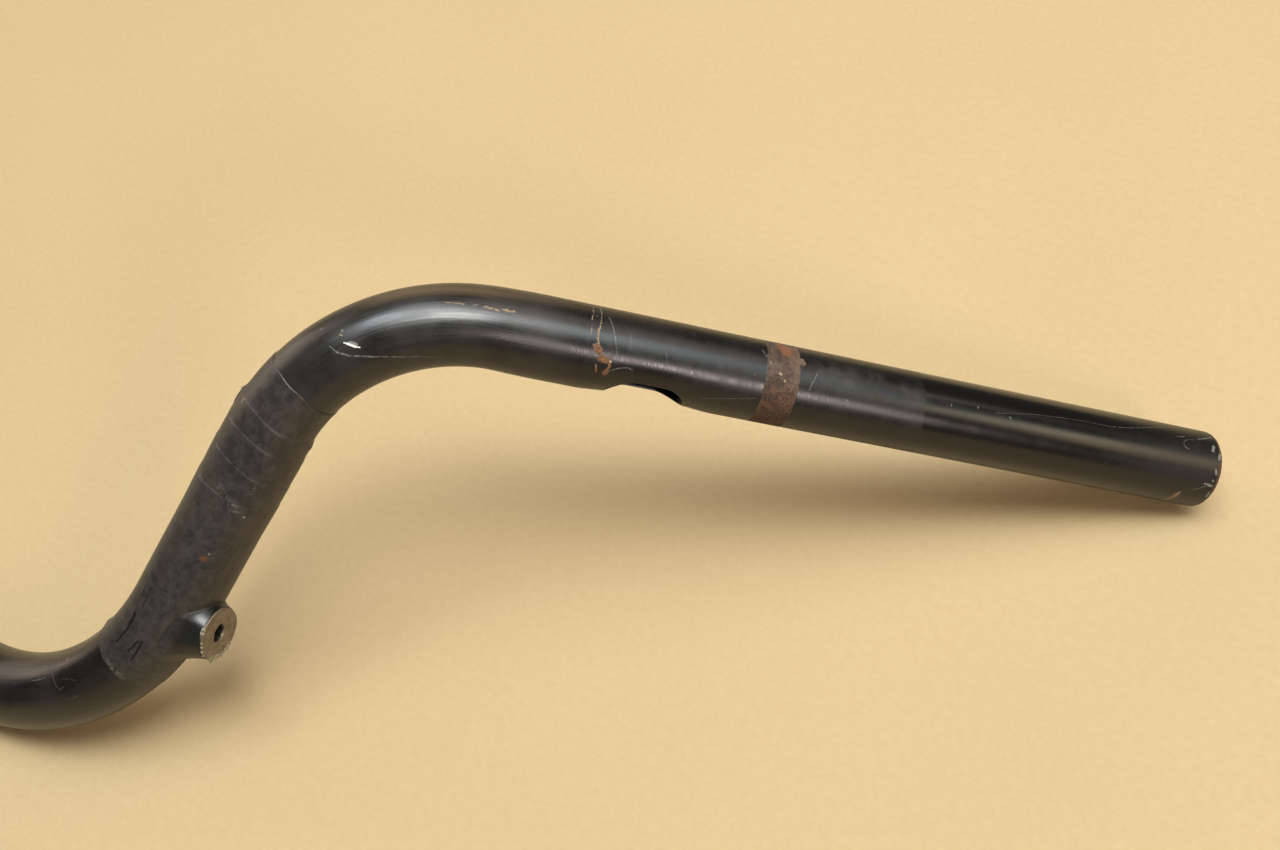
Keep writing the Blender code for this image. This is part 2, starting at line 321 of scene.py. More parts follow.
class Tube(Skin):
    """The whole bar's tube, outside and bore, with rounded ends and its three slots."""

    def __init__(self):
        super().__init__()
        self.angles = SEAM_ANGLE + 2.0 * math.pi * np.arange(SIDES) / SIDES
        exit_down = unit(np.cross((1.0, 0.0, 0.0), BAR.grip))
        exit_down *= -np.sign(exit_down[2])
        exit_angle = math.atan2(exit_down[1], exit_down[2])
        self.slots = [
            (BAR.from_end(WIRE_SLOT_TO_END, 1), WIRE_SLOT_ANGLE, WIRE_SLOT),
            (BAR.from_end(WIRE_SLOT_TO_END, -1), WIRE_SLOT_ANGLE, WIRE_SLOT),
            (0.0, exit_angle, EXIT_SLOT),
        ]
        outside = self.outside_places()
        self.add_rings(outside)
        for slot in self.slots:
            self.add_slot(*slot)

    def outside_places(self):
        """Places of the rings: close together at the ends, the wear and the bends."""
        half = []
        place = 0.0
        limit = BAR.half_length - END_ROUNDING
        while place < limit - 0.3 * END_STEP:
            half.append(place)
            left = BAR.half_length - place
            worn = any(start < left < stop for start, stop in WORN_RUNS)
            bend = any(start < left < stop for start, stop in BEND_RUNS)
            near_exit = place < 0.75 * EXIT_SLOT[0]
            if left < END_RUN:
                place += END_STEP
            elif worn or near_exit:
                place += WORN_STEP
            else:
                place += BEND_STEP if bend else COARSE_STEP
        half.append(limit)
        half = np.array(half)
        return np.concatenate((-half[:0:-1], half))

    def bore_places(self, outside):
        """A part of the outside's places, all of them beside the slots."""
        kept, last = [outside[-1]], outside[-1]
        for place in outside[-2:0:-1]:
            near = any(abs(place - at) < 0.5 * size[0] + 1.2 * SLOT_MARGIN
                       for at, _, size in self.slots)
            if near or last - place > BORE_STEP:
                kept.append(place)
                last = place
        return np.array(kept + [outside[0]])

    def rim(self, side):
        """Places and radii round one end's rim, from the outside to the bore."""
        places, radii = [], []
        for step in range(1, 9):
            angle = math.pi / 2.0 * step / 8.0
            places.append(BAR.half_length - END_ROUNDING * (1.0 - math.sin(angle)))
            radii.append(TUBE_RADIUS - END_ROUNDING * (1.0 - math.cos(angle)))
        inner = TUBE_RADIUS - WALL
        for back, more in ((0.0, 0.28 * MM), (0.08 * MM, 0.1 * MM), (0.3 * MM, 0.0)):
            places.append(BAR.half_length - back)
            radii.append(inner + more)
        order = 1 if side > 0 else -1
        return side * np.array(places)[::order], np.array(radii)[::order]

    def add_rings(self, outside):
        bore = self.bore_places(outside)
        right, left = self.rim(1), self.rim(-1)
        places = np.concatenate((outside, right[0], bore, left[0]))
        radii = np.concatenate((
            np.full(len(outside), TUBE_RADIUS), right[1],
            np.full(len(bore), TUBE_RADIUS - WALL), left[1],
        ))
        grid_along, grid_angle = np.meshgrid(places, self.angles, indexing="ij")
        shift = wall_shift(grid_along, grid_angle) + rim_damage(grid_along, grid_angle)
        self.grid = self.add(grid_along, grid_angle, radii[:, None] + shift)
        keep = np.ones(self.grid.shape, bool)
        first_bore = len(outside) + len(right[0])
        self.frames = []
        for place, slot_angle, size in self.slots:
            columns = self.columns_beside(slot_angle, size)
            for start, stop in ((0, len(outside)), (first_bore, first_bore + len(bore))):
                rows = start + np.flatnonzero(
                    np.abs(places[start:stop] - place) < 0.5 * size[0] + SLOT_MARGIN)
                keep[rows[0]:rows[-1], columns[0]:columns[-1]] = False
                rows = rows[np.argsort(places[rows])]
                self.frames.append(self.border(rows, columns))
        count = len(self.grid)
        for row in range(count):
            ring_a, ring_b = self.grid[row], self.grid[(row + 1) % count]
            quads = np.stack((ring_a, ring_b, np.roll(ring_b, -1), np.roll(ring_a, -1)), -1)
            self.faces.append(quads[keep[row]])

    def columns_beside(self, slot_angle, size):
        """Columns of the grid from some way before a slot to some way past it."""
        half = math.asin(size[1] / 2.0 / TUBE_RADIUS) + math.radians(27.0)
        step = 2.0 * math.pi / SIDES
        middle = (slot_angle - SEAM_ANGLE) % (2.0 * math.pi)
        return np.arange(int((middle - half) / step), int((middle + half) / step) + 2)

    def border(self, rows, columns):
        """The closed loop of grid vertices round an opening that is cut from the grid."""
        return np.concatenate((
            self.grid[rows[:-1], columns[0]], self.grid[rows[-1], columns[:-1]],
            self.grid[rows[:0:-1], columns[-1]], self.grid[rows[0], columns[:0:-1]],
        ))

    def add_slot(self, place, slot_angle, size):
        """Loops from the grid to the slot's lip, down its wall and out again in the bore."""
        outer, inner = self.frames.pop(0), self.frames.pop(0)
        loops = [outer]
        along, angle = (np.concatenate(v) for v in (self.along, self.angle))
        lip_size = (size[0] + 2.0 * SLOT_LIP, size[1] + 2.0 * SLOT_LIP)
        loops += self.approach(outer, along, angle, place, slot_angle, lip_size, 0.0)
        for step in range(1, 6):
            turn = math.pi / 2.0 * step / 5.0
            grow = 2.0 * SLOT_LIP * (1.0 - math.sin(turn))
            loop_size = (size[0] + grow, size[1] + grow)
            depth = SLOT_LIP * (1.0 - math.cos(turn))
            loops.append(self.outline_loop(outer, along, angle, place, slot_angle, loop_size, depth))
        wall_foot = WALL - 0.15 * MM
        loops.append(self.outline_loop(outer, along, angle, place, slot_angle, size, wall_foot))
        bore = self.approach(inner, along, angle, place, slot_angle, size, WALL)
        loops += bore[::-1] + [inner]
        for ring_a, ring_b in zip(loops, loops[1:]):
            self.join(ring_a, ring_b)

    def outline_loop(self, border, along, angle, place, slot_angle, size, depth):
        """A loop of vertices on the slot's outline, one for each vertex of the border."""
        point = slot_outline(along[border], angle[border], place, slot_angle, size)
        new_along = place + point[:, 0]
        radius = np.full(len(point), TUBE_RADIUS - depth)
        for _ in range(3):
            turn = np.arcsin(np.clip(point[:, 1] / radius, -1.0, 1.0))
            radius = TUBE_RADIUS - depth + wall_shift(new_along, slot_angle + turn)
        turn = np.arcsin(np.clip(point[:, 1] / radius, -1.0, 1.0))
        return self.add(new_along, slot_angle + turn, radius)

    def approach(self, border, along, angle, place, slot_angle, size, depth):
        """Loops that lead from a border to a slot's outline, closer together near it."""
        last = self.outline_loop(border, along, angle, place, slot_angle, size, depth)
        end_along = np.concatenate(self.along)[last]
        end_angle = np.concatenate(self.angle)[last]
        loops = []
        for share in (0.2, 0.38, 0.54, 0.68, 0.79, 0.875, 0.94, 0.98):
            between = along[border] + (end_along - along[border]) * share
            turned = angle[border] + (end_angle - angle[border]) * share
            radius = TUBE_RADIUS - depth + wall_shift(between, turned)
            loops.append(self.add(between, turned, radius))
        return loops + [last]


def rim_damage(along, angle):
    """Small dents where the bare end has knocked against things."""
    left = BAR.half_length - np.abs(along)
    near = 1.0 - smooth(left, 0.4 * MM, 3.2 * MM)
    wave = np.sin(9.0 * angle + 1.3) * np.sin(23.0 * angle + np.sign(along)) + np.sin(41.0 * angle)
    return -0.07 * MM * near * np.maximum(wave - 0.25, 0.0)


# ---------------------------------------------------------------------- bosses and welds

BOSS_SIDES = 144
BOSS_ORIGIN = BAR.corner_1 + BAR.riser * BOSS_FROM_CORNER_1
BOSS_UP = unit(np.array((0.0, 0.0, 1.0)) - BOSS_AXIS * BOSS_AXIS[2])
BOSS_FRONT = np.cross(BOSS_AXIS, BOSS_UP)
RISER_POINTS = BAR.points[np.linalg.norm(BAR.points - BOSS_ORIGIN, axis=1) < 30.0 * MM]


def boss_points(turn, radius, height, side):
    """Points round the boss's axis: the turn is from up to the front, the height along it."""
    turn, radius, height = np.broadcast_arrays(turn, radius, height)
    across = np.cos(turn)[..., None] * BOSS_UP + np.sin(turn)[..., None] * BOSS_FRONT
    points = BOSS_ORIGIN + across * radius[..., None] + BOSS_AXIS * height[..., None]
    return points * np.array((side, 1.0, 1.0))


def height_on_riser(turn, radius):
    """How far along the boss's axis the riser's surface lies."""
    turn, radius = np.broadcast_arrays(turn, radius)
    low, high = np.zeros(turn.shape), np.full(turn.shape, 2.0 * TUBE_RADIUS)
    for _ in range(20):
        middle = (low + high) / 2.0
        points = boss_points(turn, radius, middle, 1)
        gaps = np.linalg.norm(points[..., None, :] - RISER_POINTS, axis=-1).min(-1)
        inside = gaps < TUBE_RADIUS
        low, high = np.where(inside, middle, low), np.where(inside, high, middle)
    return high


def riser_room(turn):
    """How far from the boss's axis the riser's surface still lies under a direction."""
    across = np.cos(turn)[:, None] * BOSS_UP + np.sin(turn)[:, None] * BOSS_FRONT
    beside = np.sqrt(np.maximum(1.0 - (across @ BAR.riser) ** 2, 0.04))
    return 0.95 * TUBE_RADIUS / beside


def ring_mesh(name, rings, material, side, closed=False):
    """A body from rings of equal length. Open ones are capped at both ends."""
    count = rings.shape[1]
    numbers = np.arange(rings.shape[0] * count).reshape(rings.shape[:2])
    pairs = list(zip(numbers, numbers[1:]))
    if closed:
        pairs.append((numbers[-1], numbers[0]))
    faces = []
    for ring_a, ring_b in pairs:
        quads = np.stack((ring_a, np.roll(ring_a, -1), np.roll(ring_b, -1), ring_b), -1)
        faces.extend(quads[:, ::-side].tolist())
    if not closed:
        faces.append(numbers[0][::side].tolist())
        faces.append(numbers[-1][::-side].tolist())
    return mesh_object(name, rings.reshape(-1, 3), faces, material)


def saw_marks(turn, radius, seed):
    """Height of the sawn face: grooves from the blade's strokes and a slight slant."""
    across = radius * np.cos(turn - 0.5 - 0.3 * seed)
    along = radius * np.sin(turn - 0.5 - 0.3 * seed)
    grooves = np.sin(across / (0.13 * MM) + 0.8 * np.sin(along / (2.1 * MM)))
    broad = np.sin(across / (0.9 * MM) + 1.0 + seed)
    return 0.022 * MM * grooves + 0.05 * MM * broad


def ragged(turn, seed):
    """An uneven run of torn teeth round the rim, from 0 to 1."""
    teeth = np.sin(38.0 * turn + 2.3 * np.sin(3.0 * turn + seed))
    coarse = np.sin(17.0 * turn + 1.9 * np.sin(5.0 * turn + 2.0 * seed))
    return np.clip(0.5 + 0.35 * teeth + 0.3 * coarse, 0.0, 1.0)


def burr_parts(turn, seed):
    """How strongly each direction carries torn flakes, and the rolled strip of metal."""
    flakes = 1.0 - smooth(np.abs(np.sin((turn - 1.15 - seed) / 2.0)), 0.40, 0.62)
    strip = 1.0 - smooth(np.abs(np.sin((turn - 2.65 - seed) / 2.0)), 0.28, 0.42)
    return flakes, strip


def burr_reach(turn, seed):
    """How far the torn edge of the cut stands out over the boss's side."""
    flakes, strip = burr_parts(turn, seed)
    torn = ragged(turn, seed)
    return MM * (0.03 + 0.55 * flakes * torn ** 3 + strip * (0.15 + 0.45 * torn))


def build_boss(name, side, material):
    """The sawn-off boss: its raw face, torn rim, hole and the stump that the weld hides."""
    turn = 2.0 * math.pi * np.arange(BOSS_SIDES) / BOSS_SIDES
    seed = 0.0 if side > 0 else 1.3
    outline = BOSS_RADIUS * (1.0 + 0.02 * np.sin(2.0 * turn + 0.4) + 0.012 * np.sin(5.0 * turn))
    hole = BOSS_HOLE_RADIUS * (0.98 + 0.09 * np.cos(2.0 * (turn - 2.1)) + 0.04 * np.sin(5.0 * turn))
    flakes, strip = burr_parts(turn, seed)
    torn = ragged(turn, seed)
    rings, depths, burrs = [], [], []

    def add(points, depth, burr):
        rings.append(points)
        depths.append(np.full(BOSS_SIDES, depth))
        burrs.append(burr * np.ones(BOSS_SIDES))

    for share, height in ((0.06, -7.6), (0.8, -7.5), (0.96, -7.0), (0.99, -3.0), (0.98, -0.9)):
        add(boss_points(turn, hole * share, BOSS_REACH + height * MM, side), -height, 0.0)
    lip = np.exp(-((turn - 3.35) / 0.16) ** 2)
    tongue = hole * (1.0 - 0.42 * lip)
    add(boss_points(turn, tongue, BOSS_REACH - 0.30 * MM, side), 0.3, lip)
    for share in np.linspace(0.0, 1.0, 26):
        radius = hole + (outline - hole) * share
        rise = saw_marks(turn, radius, seed) * smooth(share, 0.0, 0.06)
        worn = -0.10 * MM * (1.0 - smooth(share, 0.0, 0.08))
        rolled = 0.30 * MM * strip * torn * smooth(share, 0.72, 0.92)
        lifted = 0.16 * MM * flakes * torn * smooth(share, 0.86, 1.0)
        pale = strip * (0.4 + 0.6 * torn) * smooth(share, 0.74, 0.88)
        pale = pale + flakes * torn ** 3 * smooth(share, 0.88, 1.0)
        height = BOSS_REACH + rise + worn + rolled + lifted
        add(boss_points(turn, radius, height, side), 0.0, np.maximum(pale, lip * (share < 0.05)))
    reach = burr_reach(turn, seed)
    edge = 0.30 * strip * torn + 0.16 * flakes * torn
    for out, height in ((0.55, 0.02), (1.0, -0.06), (0.95, -0.26), (0.35, -0.44), (0.0, -0.7)):
        lift = BOSS_REACH + height * MM + (1.0 - out * 0.4) * edge * MM * (height > -0.3)
        burr = np.maximum(strip, flakes * torn ** 2)
        add(boss_points(turn, outline + reach * out, lift, side), 0.0, burr)
    add(boss_points(turn, outline - 0.05 * MM, 0.35 * BOSS_REACH, side), 0.0, 0.0)
    obj = ring_mesh(name, np.array(rings), material, side)
    stamp_number(obj.data, "hole_depth", np.array(depths))
    stamp_number(obj.data, "torn_edge", np.array(burrs))
    return obj


def build_weld(name, side, material):
    """A smooth painted fillet that flares from the boss on to the riser."""
    turn = 2.0 * math.pi * np.arange(BOSS_SIDES) / BOSS_SIDES
    inner = BOSS_RADIUS + 0.1 * MM
    top = BOSS_REACH - 0.45 * MM
    rise = top - height_on_riser(turn, inner)
    below = np.exp(-((turn - 2.9) / 0.85) ** 2)
    width = np.clip(0.85 * rise * (1.0 - 0.85 * below), 0.9 * MM, 9.0 * MM)
    room = riser_room(turn)
    rings = [boss_points(turn, inner - 0.8 * MM, 0.45 * BOSS_REACH, side)]
    rings.append(boss_points(turn, inner - 0.6 * MM, top - 0.2 * MM, side))
    rings.append(boss_points(turn, inner - 0.15 * MM, top - 0.02 * MM, side))
    for share in np.linspace(0.0, 1.0, 22):
        radius = inner + np.minimum(width, room - inner) * share ** 1.12
        lumps = 0.05 * MM * np.sin(7.0 * turn + 5.0 * share) * math.sin(math.pi * share)
        height = height_on_riser(turn, radius) + rise * (1.0 - share) ** 2.1 + lumps
        rings.append(boss_points(turn, radius, height - 0.1 * MM * share, side))
    foot = np.minimum(inner + width, room) + 0.15 * MM
    rings.append(boss_points(turn, foot, height_on_riser(turn, foot) - 0.6 * MM, side))
    obj = ring_mesh(name, np.array(rings), material, side, closed=True)
    points = np.array([vert.co for vert in obj.data.vertices]) * np.array((side, 1.0, 1.0))
    nearest = np.linalg.norm(points[:, None, :] - BAR.points[::8], axis=-1).argmin(1) * 8
    along = BAR.distances[nearest]
    away = points - BAR.points[nearest]
    up, sideways = BAR.cross_axes(along)
    angle = np.arctan2((away * sideways).sum(1), (away * up).sum(1))
    stamp_place(obj.data, side * along, angle, np.linalg.norm(away, axis=1))
    out = points - BOSS_ORIGIN
    out = np.linalg.norm(out - np.outer(out @ BOSS_AXIS, BOSS_AXIS), axis=1)
    stamp_number(obj.data, "weld_foot", (out - inner) / (6.0 * MM))
    return obj


# ---------------------------------------------------------------------------------- tape

TAPE_TOP = 261.0 * MM
TAPE_FOOT = 356.0 * MM
TAPE_LAYER = 0.14 * MM
TAPE_EDGES = np.array((271.2, 277.2, 285.4, 295.2)) * MM


def edge_places(angle):
    """Where the tape's edge lies at each of its turns; it winds down the riser."""
    turns = 2.0 * math.pi * np.arange(len(TAPE_EDGES))
    return [np.interp(turn - angle, turns, TAPE_EDGES) + 0.2 * MM * np.sin(5.0 * angle + turn)
            for turn in turns]


def tape_layers(from_end, angle):
    """How many layers lie over each other: one more past each edge, then fewer again."""
    layers = np.ones(np.broadcast(from_end, angle).shape)
    for edge in edge_places(angle):
        past = from_end - edge
        layers = layers + smooth(past, -0.05 * MM, 0.35 * MM) * (1.0 - smooth(past, 3.0 * MM, 12.0 * MM))
    return layers


def nearest_edge(from_end, angle):
    """Distance past the nearest of the tape's edges, its upper end counted as one."""
    gaps = np.stack([from_end - TAPE_TOP] + [from_end - edge for edge in edge_places(angle)])
    nearest = np.abs(gaps).argmin(0)
    return np.take_along_axis(gaps, nearest[None], 0)[0]


def bump(from_end, angle, place, degrees, length, width, height):
    """A soft lump on the tape; width is round the tube."""
    beside = (from_end - place * MM) / (length * MM)
    around = TUBE_RADIUS * (angle - math.radians(degrees)) / (width * MM)
    return height * MM * np.exp(-beside ** 2 - around ** 2)


def wrinkle(from_end, angle, start, stop, width, height):
    """A fold between two places, each given as millimetres from the end and degrees."""
    across = TUBE_RADIUS / MM * math.pi / 180.0
    ax, ay, bx, by = start[0], start[1] * across, stop[0], stop[1] * across
    px = from_end / MM - ax
    py = np.degrees(angle) * across - ay
    length = math.hypot(bx - ax, by - ay)
    run = ((px * (bx - ax) + py * (by - ay)) / length)
    beside = (py * (bx - ax) - px * (by - ay)) / length
    beside = beside + 0.35 * np.sin(run * 1.1)
    share = np.clip(run / length, 0.0, 1.0)
    off_end = np.abs(run - share * length)
    swell = np.sin(np.pi * np.clip(share, 0.04, 0.96))
    return height * MM * swell * np.exp(-(beside / width) ** 2 - off_end ** 2)


TAPE_BUMPS = (
    (273.6, 46.0, 2.3, 1.0, 0.50),
    (271.4, 40.0, 0.9, 1.3, 0.55),
    (354.6, 45.0, 1.6, 1.2, 0.42),
    (275.8, -128.0, 1.5, 2.2, 0.35),
    (294.5, -44.0, 2.6, 3.4, 0.10),
)
TAPE_WRINKLES = (
    ((322.0, 13.0), (350.4, -15.0), 0.55, 0.20),
    ((330.0, -4.0), (346.0, -31.0), 0.50, 0.16),
    ((343.0, -28.0), (351.5, -44.0), 0.45, 0.22),
    ((346.5, -25.0), (352.5, -36.0), 0.40, 0.16),
    ((292.5, -20.0), (294.5, -36.0), 0.40, 0.22),
    ((294.0, -30.0), (296.5, -56.0), 0.40, 0.24),
    ((296.5, -28.0), (294.5, -48.0), 0.35, 0.18),
    ((298.5, -40.0), (296.8, -66.0), 0.35, 0.20),
)


def tape_radius(from_end, angle):
    radius = TUBE_RADIUS + TAPE_LAYER * (0.45 + tape_layers(from_end, angle))
    for place in TAPE_BUMPS:
        radius = radius + bump(from_end, angle, *place)
    for fold in TAPE_WRINKLES:
        radius = radius + wrinkle(from_end, angle, *fold)
    slack = np.sin(from_end / (5.1 * MM) + 3.0 * np.sin(angle)) * np.sin(4.0 * angle + 40.0 * from_end)
    sag = np.sin(from_end / (11.0 * MM) + 2.0 * angle)
    return radius + 0.02 * MM * slack + 0.03 * MM * sag


def build_tape(name, material):
    """The wound tape as one sleeve, with the steps where its turns lie over each other."""
    skin = Skin()
    angles = SEAM_ANGLE + 2.0 * math.pi * np.arange(SIDES) / SIDES
    fine = np.arange(TAPE_TOP, TAPE_TOP + 40.0 * MM, 0.3 * MM)
    middle = np.arange(fine[-1] + 0.8 * MM, TAPE_FOOT - 36.0 * MM, 0.8 * MM)
    folded = np.arange(middle[-1] + 0.4 * MM, TAPE_FOOT - 0.1 * MM, 0.4 * MM)
    places = np.concatenate((fine, middle, folded, [TAPE_FOOT]))
    grid_place, grid_angle = np.meshgrid(places, angles, indexing="ij")
    ragged = 0.25 * MM * np.sin(3.0 * grid_angle + 0.5) + 0.14 * MM * np.sin(8.0 * grid_angle)
    top_pull = 1.0 - smooth(grid_place - TAPE_TOP, 0.0, 6.0 * MM)
    foot_pull = smooth(grid_place - TAPE_FOOT, -6.0 * MM, 0.0)
    along = BAR.from_end(grid_place + ragged * (top_pull - foot_pull))
    shift = wall_shift(along, grid_angle)
    outside = skin.add(along, grid_angle, tape_radius(grid_place, grid_angle) + shift)
    kept = np.unique(np.concatenate((np.arange(0, len(places), 8), [len(places) - 1])))[::-1]
    under = TUBE_RADIUS - 0.12 * MM + shift[kept]
    inside = skin.add(along[kept], grid_angle[kept], under)
    rings = list(outside) + list(inside)
    for ring_a, ring_b in zip(rings, rings[1:] + rings[:1]):
        skin.join(ring_a, ring_b)
    obj = skin.build(name, material)
    gaps = nearest_edge(grid_place, grid_angle) / MM
    stamp_number(obj.data, "tape_edge", np.concatenate((gaps, gaps[kept])))
    return obj


# --------------------------------------------------------------------- material building

class Finish:
    """A Principled material with short calls for the nodes behind its inputs."""

    def __init__(self, name):
        self.material = bpy.data.materials.new(name)
        self.material.use_nodes = True
        self.nodes = self.material.node_tree.nodes
        self.links = self.material.node_tree.links
        self.shader = self.nodes["Principled BSDF"]
        self.colour = None

    def put(self, socket, value):
        if isinstance(value, bpy.types.NodeSocket):
            self.links.new(value, socket)
        elif isinstance(value, tuple) and len(value) == 3 and socket.type == "RGBA":
            socket.default_value = (*value, 1.0)
        else:
            socket.default_value = value

    def node(self, kind, inputs, output=0, **settings):
        made = self.nodes.new(kind)
        for key, value in settings.items():
            setattr(made, key, value)
        for key, value in inputs.items():
            self.put(made.inputs[key], value)
        return made.outputs[output]

    def math(self, operation, a, b=0.0, clamp=False):
        return self.node("ShaderNodeMath", {0: a, 1: b}, operation=operation, use_clamp=clamp)

    def add(self, a, b):
        return self.math("ADD", a, b)

    def minus(self, a, b):
        return self.math("SUBTRACT", a, b)

    def times(self, *values):
        product = values[0]
        for value in values[1:]:
            product = self.math("MULTIPLY", product, value)
        return product

    def less(self, value, part):
        """The value minus a part of it: value times (1 - part)."""
        return self.times(value, self.math("SUBTRACT", 1.0, part, clamp=True))

    def most(self, *values):
        highest_value = values[0]
        for value in values[1:]:
            highest_value = self.math("MAXIMUM", highest_value, value)
        return highest_value

    def step(self, value, low, high):
        """A soft step: 0 where the value is at low, 1 where it is at high."""
        flipped = isinstance(low, float) and isinstance(high, float) and low > high
        ends = {1: high, 2: low} if flipped else {1: low, 2: high}
        made = self.node("ShaderNodeMapRange", {0: value, **ends}, interpolation_type="SMOOTHSTEP")
        return self.minus(1.0, made) if flipped else made

    def band(self, value, low, high, soft):
        """1 between low and high, with soft ends."""
        return self.times(self.step(value, low - soft, low + soft),
                          self.step(value, high + soft, high - soft))

    def mix(self, share, a, b):
        return self.node("ShaderNodeMix", {0: share, 6: a, 7: b}, output=2, data_type="RGBA")

    def lerp(self, share, a, b):
        return self.node("ShaderNodeMix", {0: share, 2: a, 3: b}, data_type="FLOAT")

    def cover(self, share, colour, strength=None):
        """Lays a colour over what the surface has so far, as far as the share says."""
        share = share if strength is None else self.times(share, strength)
        self.colour = self.mix(share, self.colour, colour)

    def scaled(self, vector, factors):
        return self.node("ShaderNodeVectorMath", {0: vector, 1: factors}, operation="MULTIPLY")

    def noise(self, vector, scale, detail=3.0, roughness=0.55):
        return self.node("ShaderNodeTexNoise", {
            "Vector": vector, "Scale": scale, "Detail": detail, "Roughness": roughness})

    def number(self, attribute):
        """A number that the mesh has at each vertex."""
        return self.node("ShaderNodeAttribute", {}, output=2, attribute_name=attribute)

    def complete(self, gloss, height, distance, specular=0.5):
        """Links colour, roughness and relief to the shader; distance is the relief's depth."""
        bump = self.node("ShaderNodeBump", {"Height": height, "Distance": distance})
        self.put(self.shader.inputs["Base Color"], self.colour)
        self.put(self.shader.inputs["Roughness"], gloss)
        self.put(self.shader.inputs["Normal"], bump)
        self.shader.inputs["Specular IOR Level"].default_value = specular
        return self.material


class BarFinish(Finish):
    """A finish with nodes for the place on the bar, in millimetres and degrees.

    straight is the point on an unbent tube, from_end the distance from the nearer end, right is
    1 on the right half, degrees is the angle, and unrolled is the surface laid out flat.
    """

    def __init__(self, name):
        super().__init__(name)
        self.straight = self.node("ShaderNodeAttribute", {}, output=1, attribute_name="bar_place")
        parts = self.nodes.new("ShaderNodeSeparateXYZ")
        self.put(parts.inputs[0], self.straight)
        along, up, side = parts.outputs
        self.from_end = self.minus(BAR.half_length / MM, self.math("ABSOLUTE", along))
        self.right = self.math("GREATER_THAN", along, 0.0)
        turn = self.math("ARCTAN2", side, up)
        self.degrees = self.times(turn, 180.0 / math.pi)
        round_mm = self.times(turn, TUBE_RADIUS / MM)
        signed_end = self.minus(BAR.half_length / MM, along)
        self.unrolled = self.node("ShaderNodeCombineXYZ", {0: signed_end, 1: round_mm})

    def from_axis(self):
        """Distance from the tube's axis in millimetres: less than its radius in slots and bore."""
        across = self.scaled(self.straight, (0.0, 1.0, 1.0))
        return self.node("ShaderNodeVectorMath", {0: across}, output=1, operation="LENGTH")

    def stroke(self, start, stop, width):
        """1 on a line between two points, thinner at its ends, 0 away from it."""
        made = self.nodes.new("ShaderNodeGroup")
        made.node_tree = stroke_group()
        values = (self.unrolled, (*start, 0.0), (*stop, 0.0), width)
        for key, value in zip(("Point", "Start", "Stop", "Width"), values):
            self.put(made.inputs[key], value)
        return made.outputs[0]

    def strokes(self, lines):
        """The strongest of several lines, each given as its strength, width and points."""
        found = []
        for strength, width, points in lines:
            for start, stop in zip(points, points[1:]):
                found.append(self.times(self.stroke(start, stop, width), strength))
        return self.most(*found)

    def torn(self, lines, rough, low, high):
        """Lines whose edge is made uneven by a noise; it stays 0 away from them."""
        mask = self.strokes(lines)
        spread = self.times(self.minus(rough, 0.5), 1.1)
        eaten = self.step(self.add(mask, spread), low, high)
        return self.times(eaten, self.step(mask, 0.0, 0.08))


def stroke_group():
    """A node group that gives 1 on the line from Start to Stop and 0 beyond Width."""
    name = "stroke"
    if name in bpy.data.node_groups:
        return bpy.data.node_groups[name]
    tree = bpy.data.node_groups.new(name, "ShaderNodeTree")
    for label in ("Point", "Start", "Stop"):
        tree.interface.new_socket(label, in_out="INPUT", socket_type="NodeSocketVector")
    tree.interface.new_socket("Width", in_out="INPUT", socket_type="NodeSocketFloat")
    tree.interface.new_socket("Mask", in_out="OUTPUT", socket_type="NodeSocketFloat")
    ends = tree.nodes.new("NodeGroupInput").outputs
    result = tree.nodes.new("NodeGroupOutput").inputs[0]

    def vector(operation, a, b):
        made = tree.nodes.new("ShaderNodeVectorMath")
        made.operation = operation
        tree.links.new(a, made.inputs[0])
        if operation == "SCALE":
            tree.links.new(b, made.inputs["Scale"])
        elif b is not None:
            tree.links.new(b, made.inputs[1])
        return made.outputs["Value" if operation in ("DOT_PRODUCT", "LENGTH") else "Vector"]

    def number(operation, a, b):
        made = tree.nodes.new("ShaderNodeMath")
        made.operation = operation
        for socket, value in zip(made.inputs, (a, b)):
            if isinstance(value, float):
                socket.default_value = value
            else:
                tree.links.new(value, socket)
        return made.outputs[0]

    offset = vector("SUBTRACT", ends["Point"], ends["Start"])
    line = vector("SUBTRACT", ends["Stop"], ends["Start"])
    share = number("DIVIDE", vector("DOT_PRODUCT", offset, line),
                   vector("DOT_PRODUCT", line, line))
    share = number("MINIMUM", number("MAXIMUM", share, 0.0), 1.0)
    gap = vector("LENGTH", vector("SUBTRACT", offset, vector("SCALE", line, share)), None)
    close = number("SUBTRACT", 1.0, number("DIVIDE", gap, ends["Width"]))
    tree.links.new(number("MINIMUM", number("MAXIMUM", close, 0.0), 1.0), result)
    return tree


def marks(*lines):
    """Lines given as strength, width and (millimetres from the end, degrees) points."""
    per_degree = TUBE_RADIUS / MM * math.pi / 180.0
    return [(strength, width, [(place, degrees * per_degree) for place, degrees in points])
            for strength, width, points in lines]


def slot_lip_wear_and_highlight():
    """A pale line on the lip of the right wire slot, on the side towards the front: paint worn pale,
    and a painted highlight where the lip catches the light.
    """
    straight = (WIRE_SLOT[0] - WIRE_SLOT[1]) / 2.0
    half = WIRE_SLOT[1] / 2.0 + 0.9 * SLOT_LIP
    points = []
    for turn in np.radians((5.0, 25.0, 45.0, 65.0, 89.0, 91.0, 125.0, 150.0)):
        along = half * math.cos(turn) + math.copysign(straight, math.cos(turn))
        degrees = math.degrees(WIRE_SLOT_ANGLE + math.asin(half * math.sin(turn) / TUBE_RADIUS))
        points.append(((WIRE_SLOT_TO_END - along) / MM, degrees))
    return marks((0.8, 0.22, points[:4]), (0.45, 0.18, points[3:]))


# --------------------------------------------------------------------------- materials

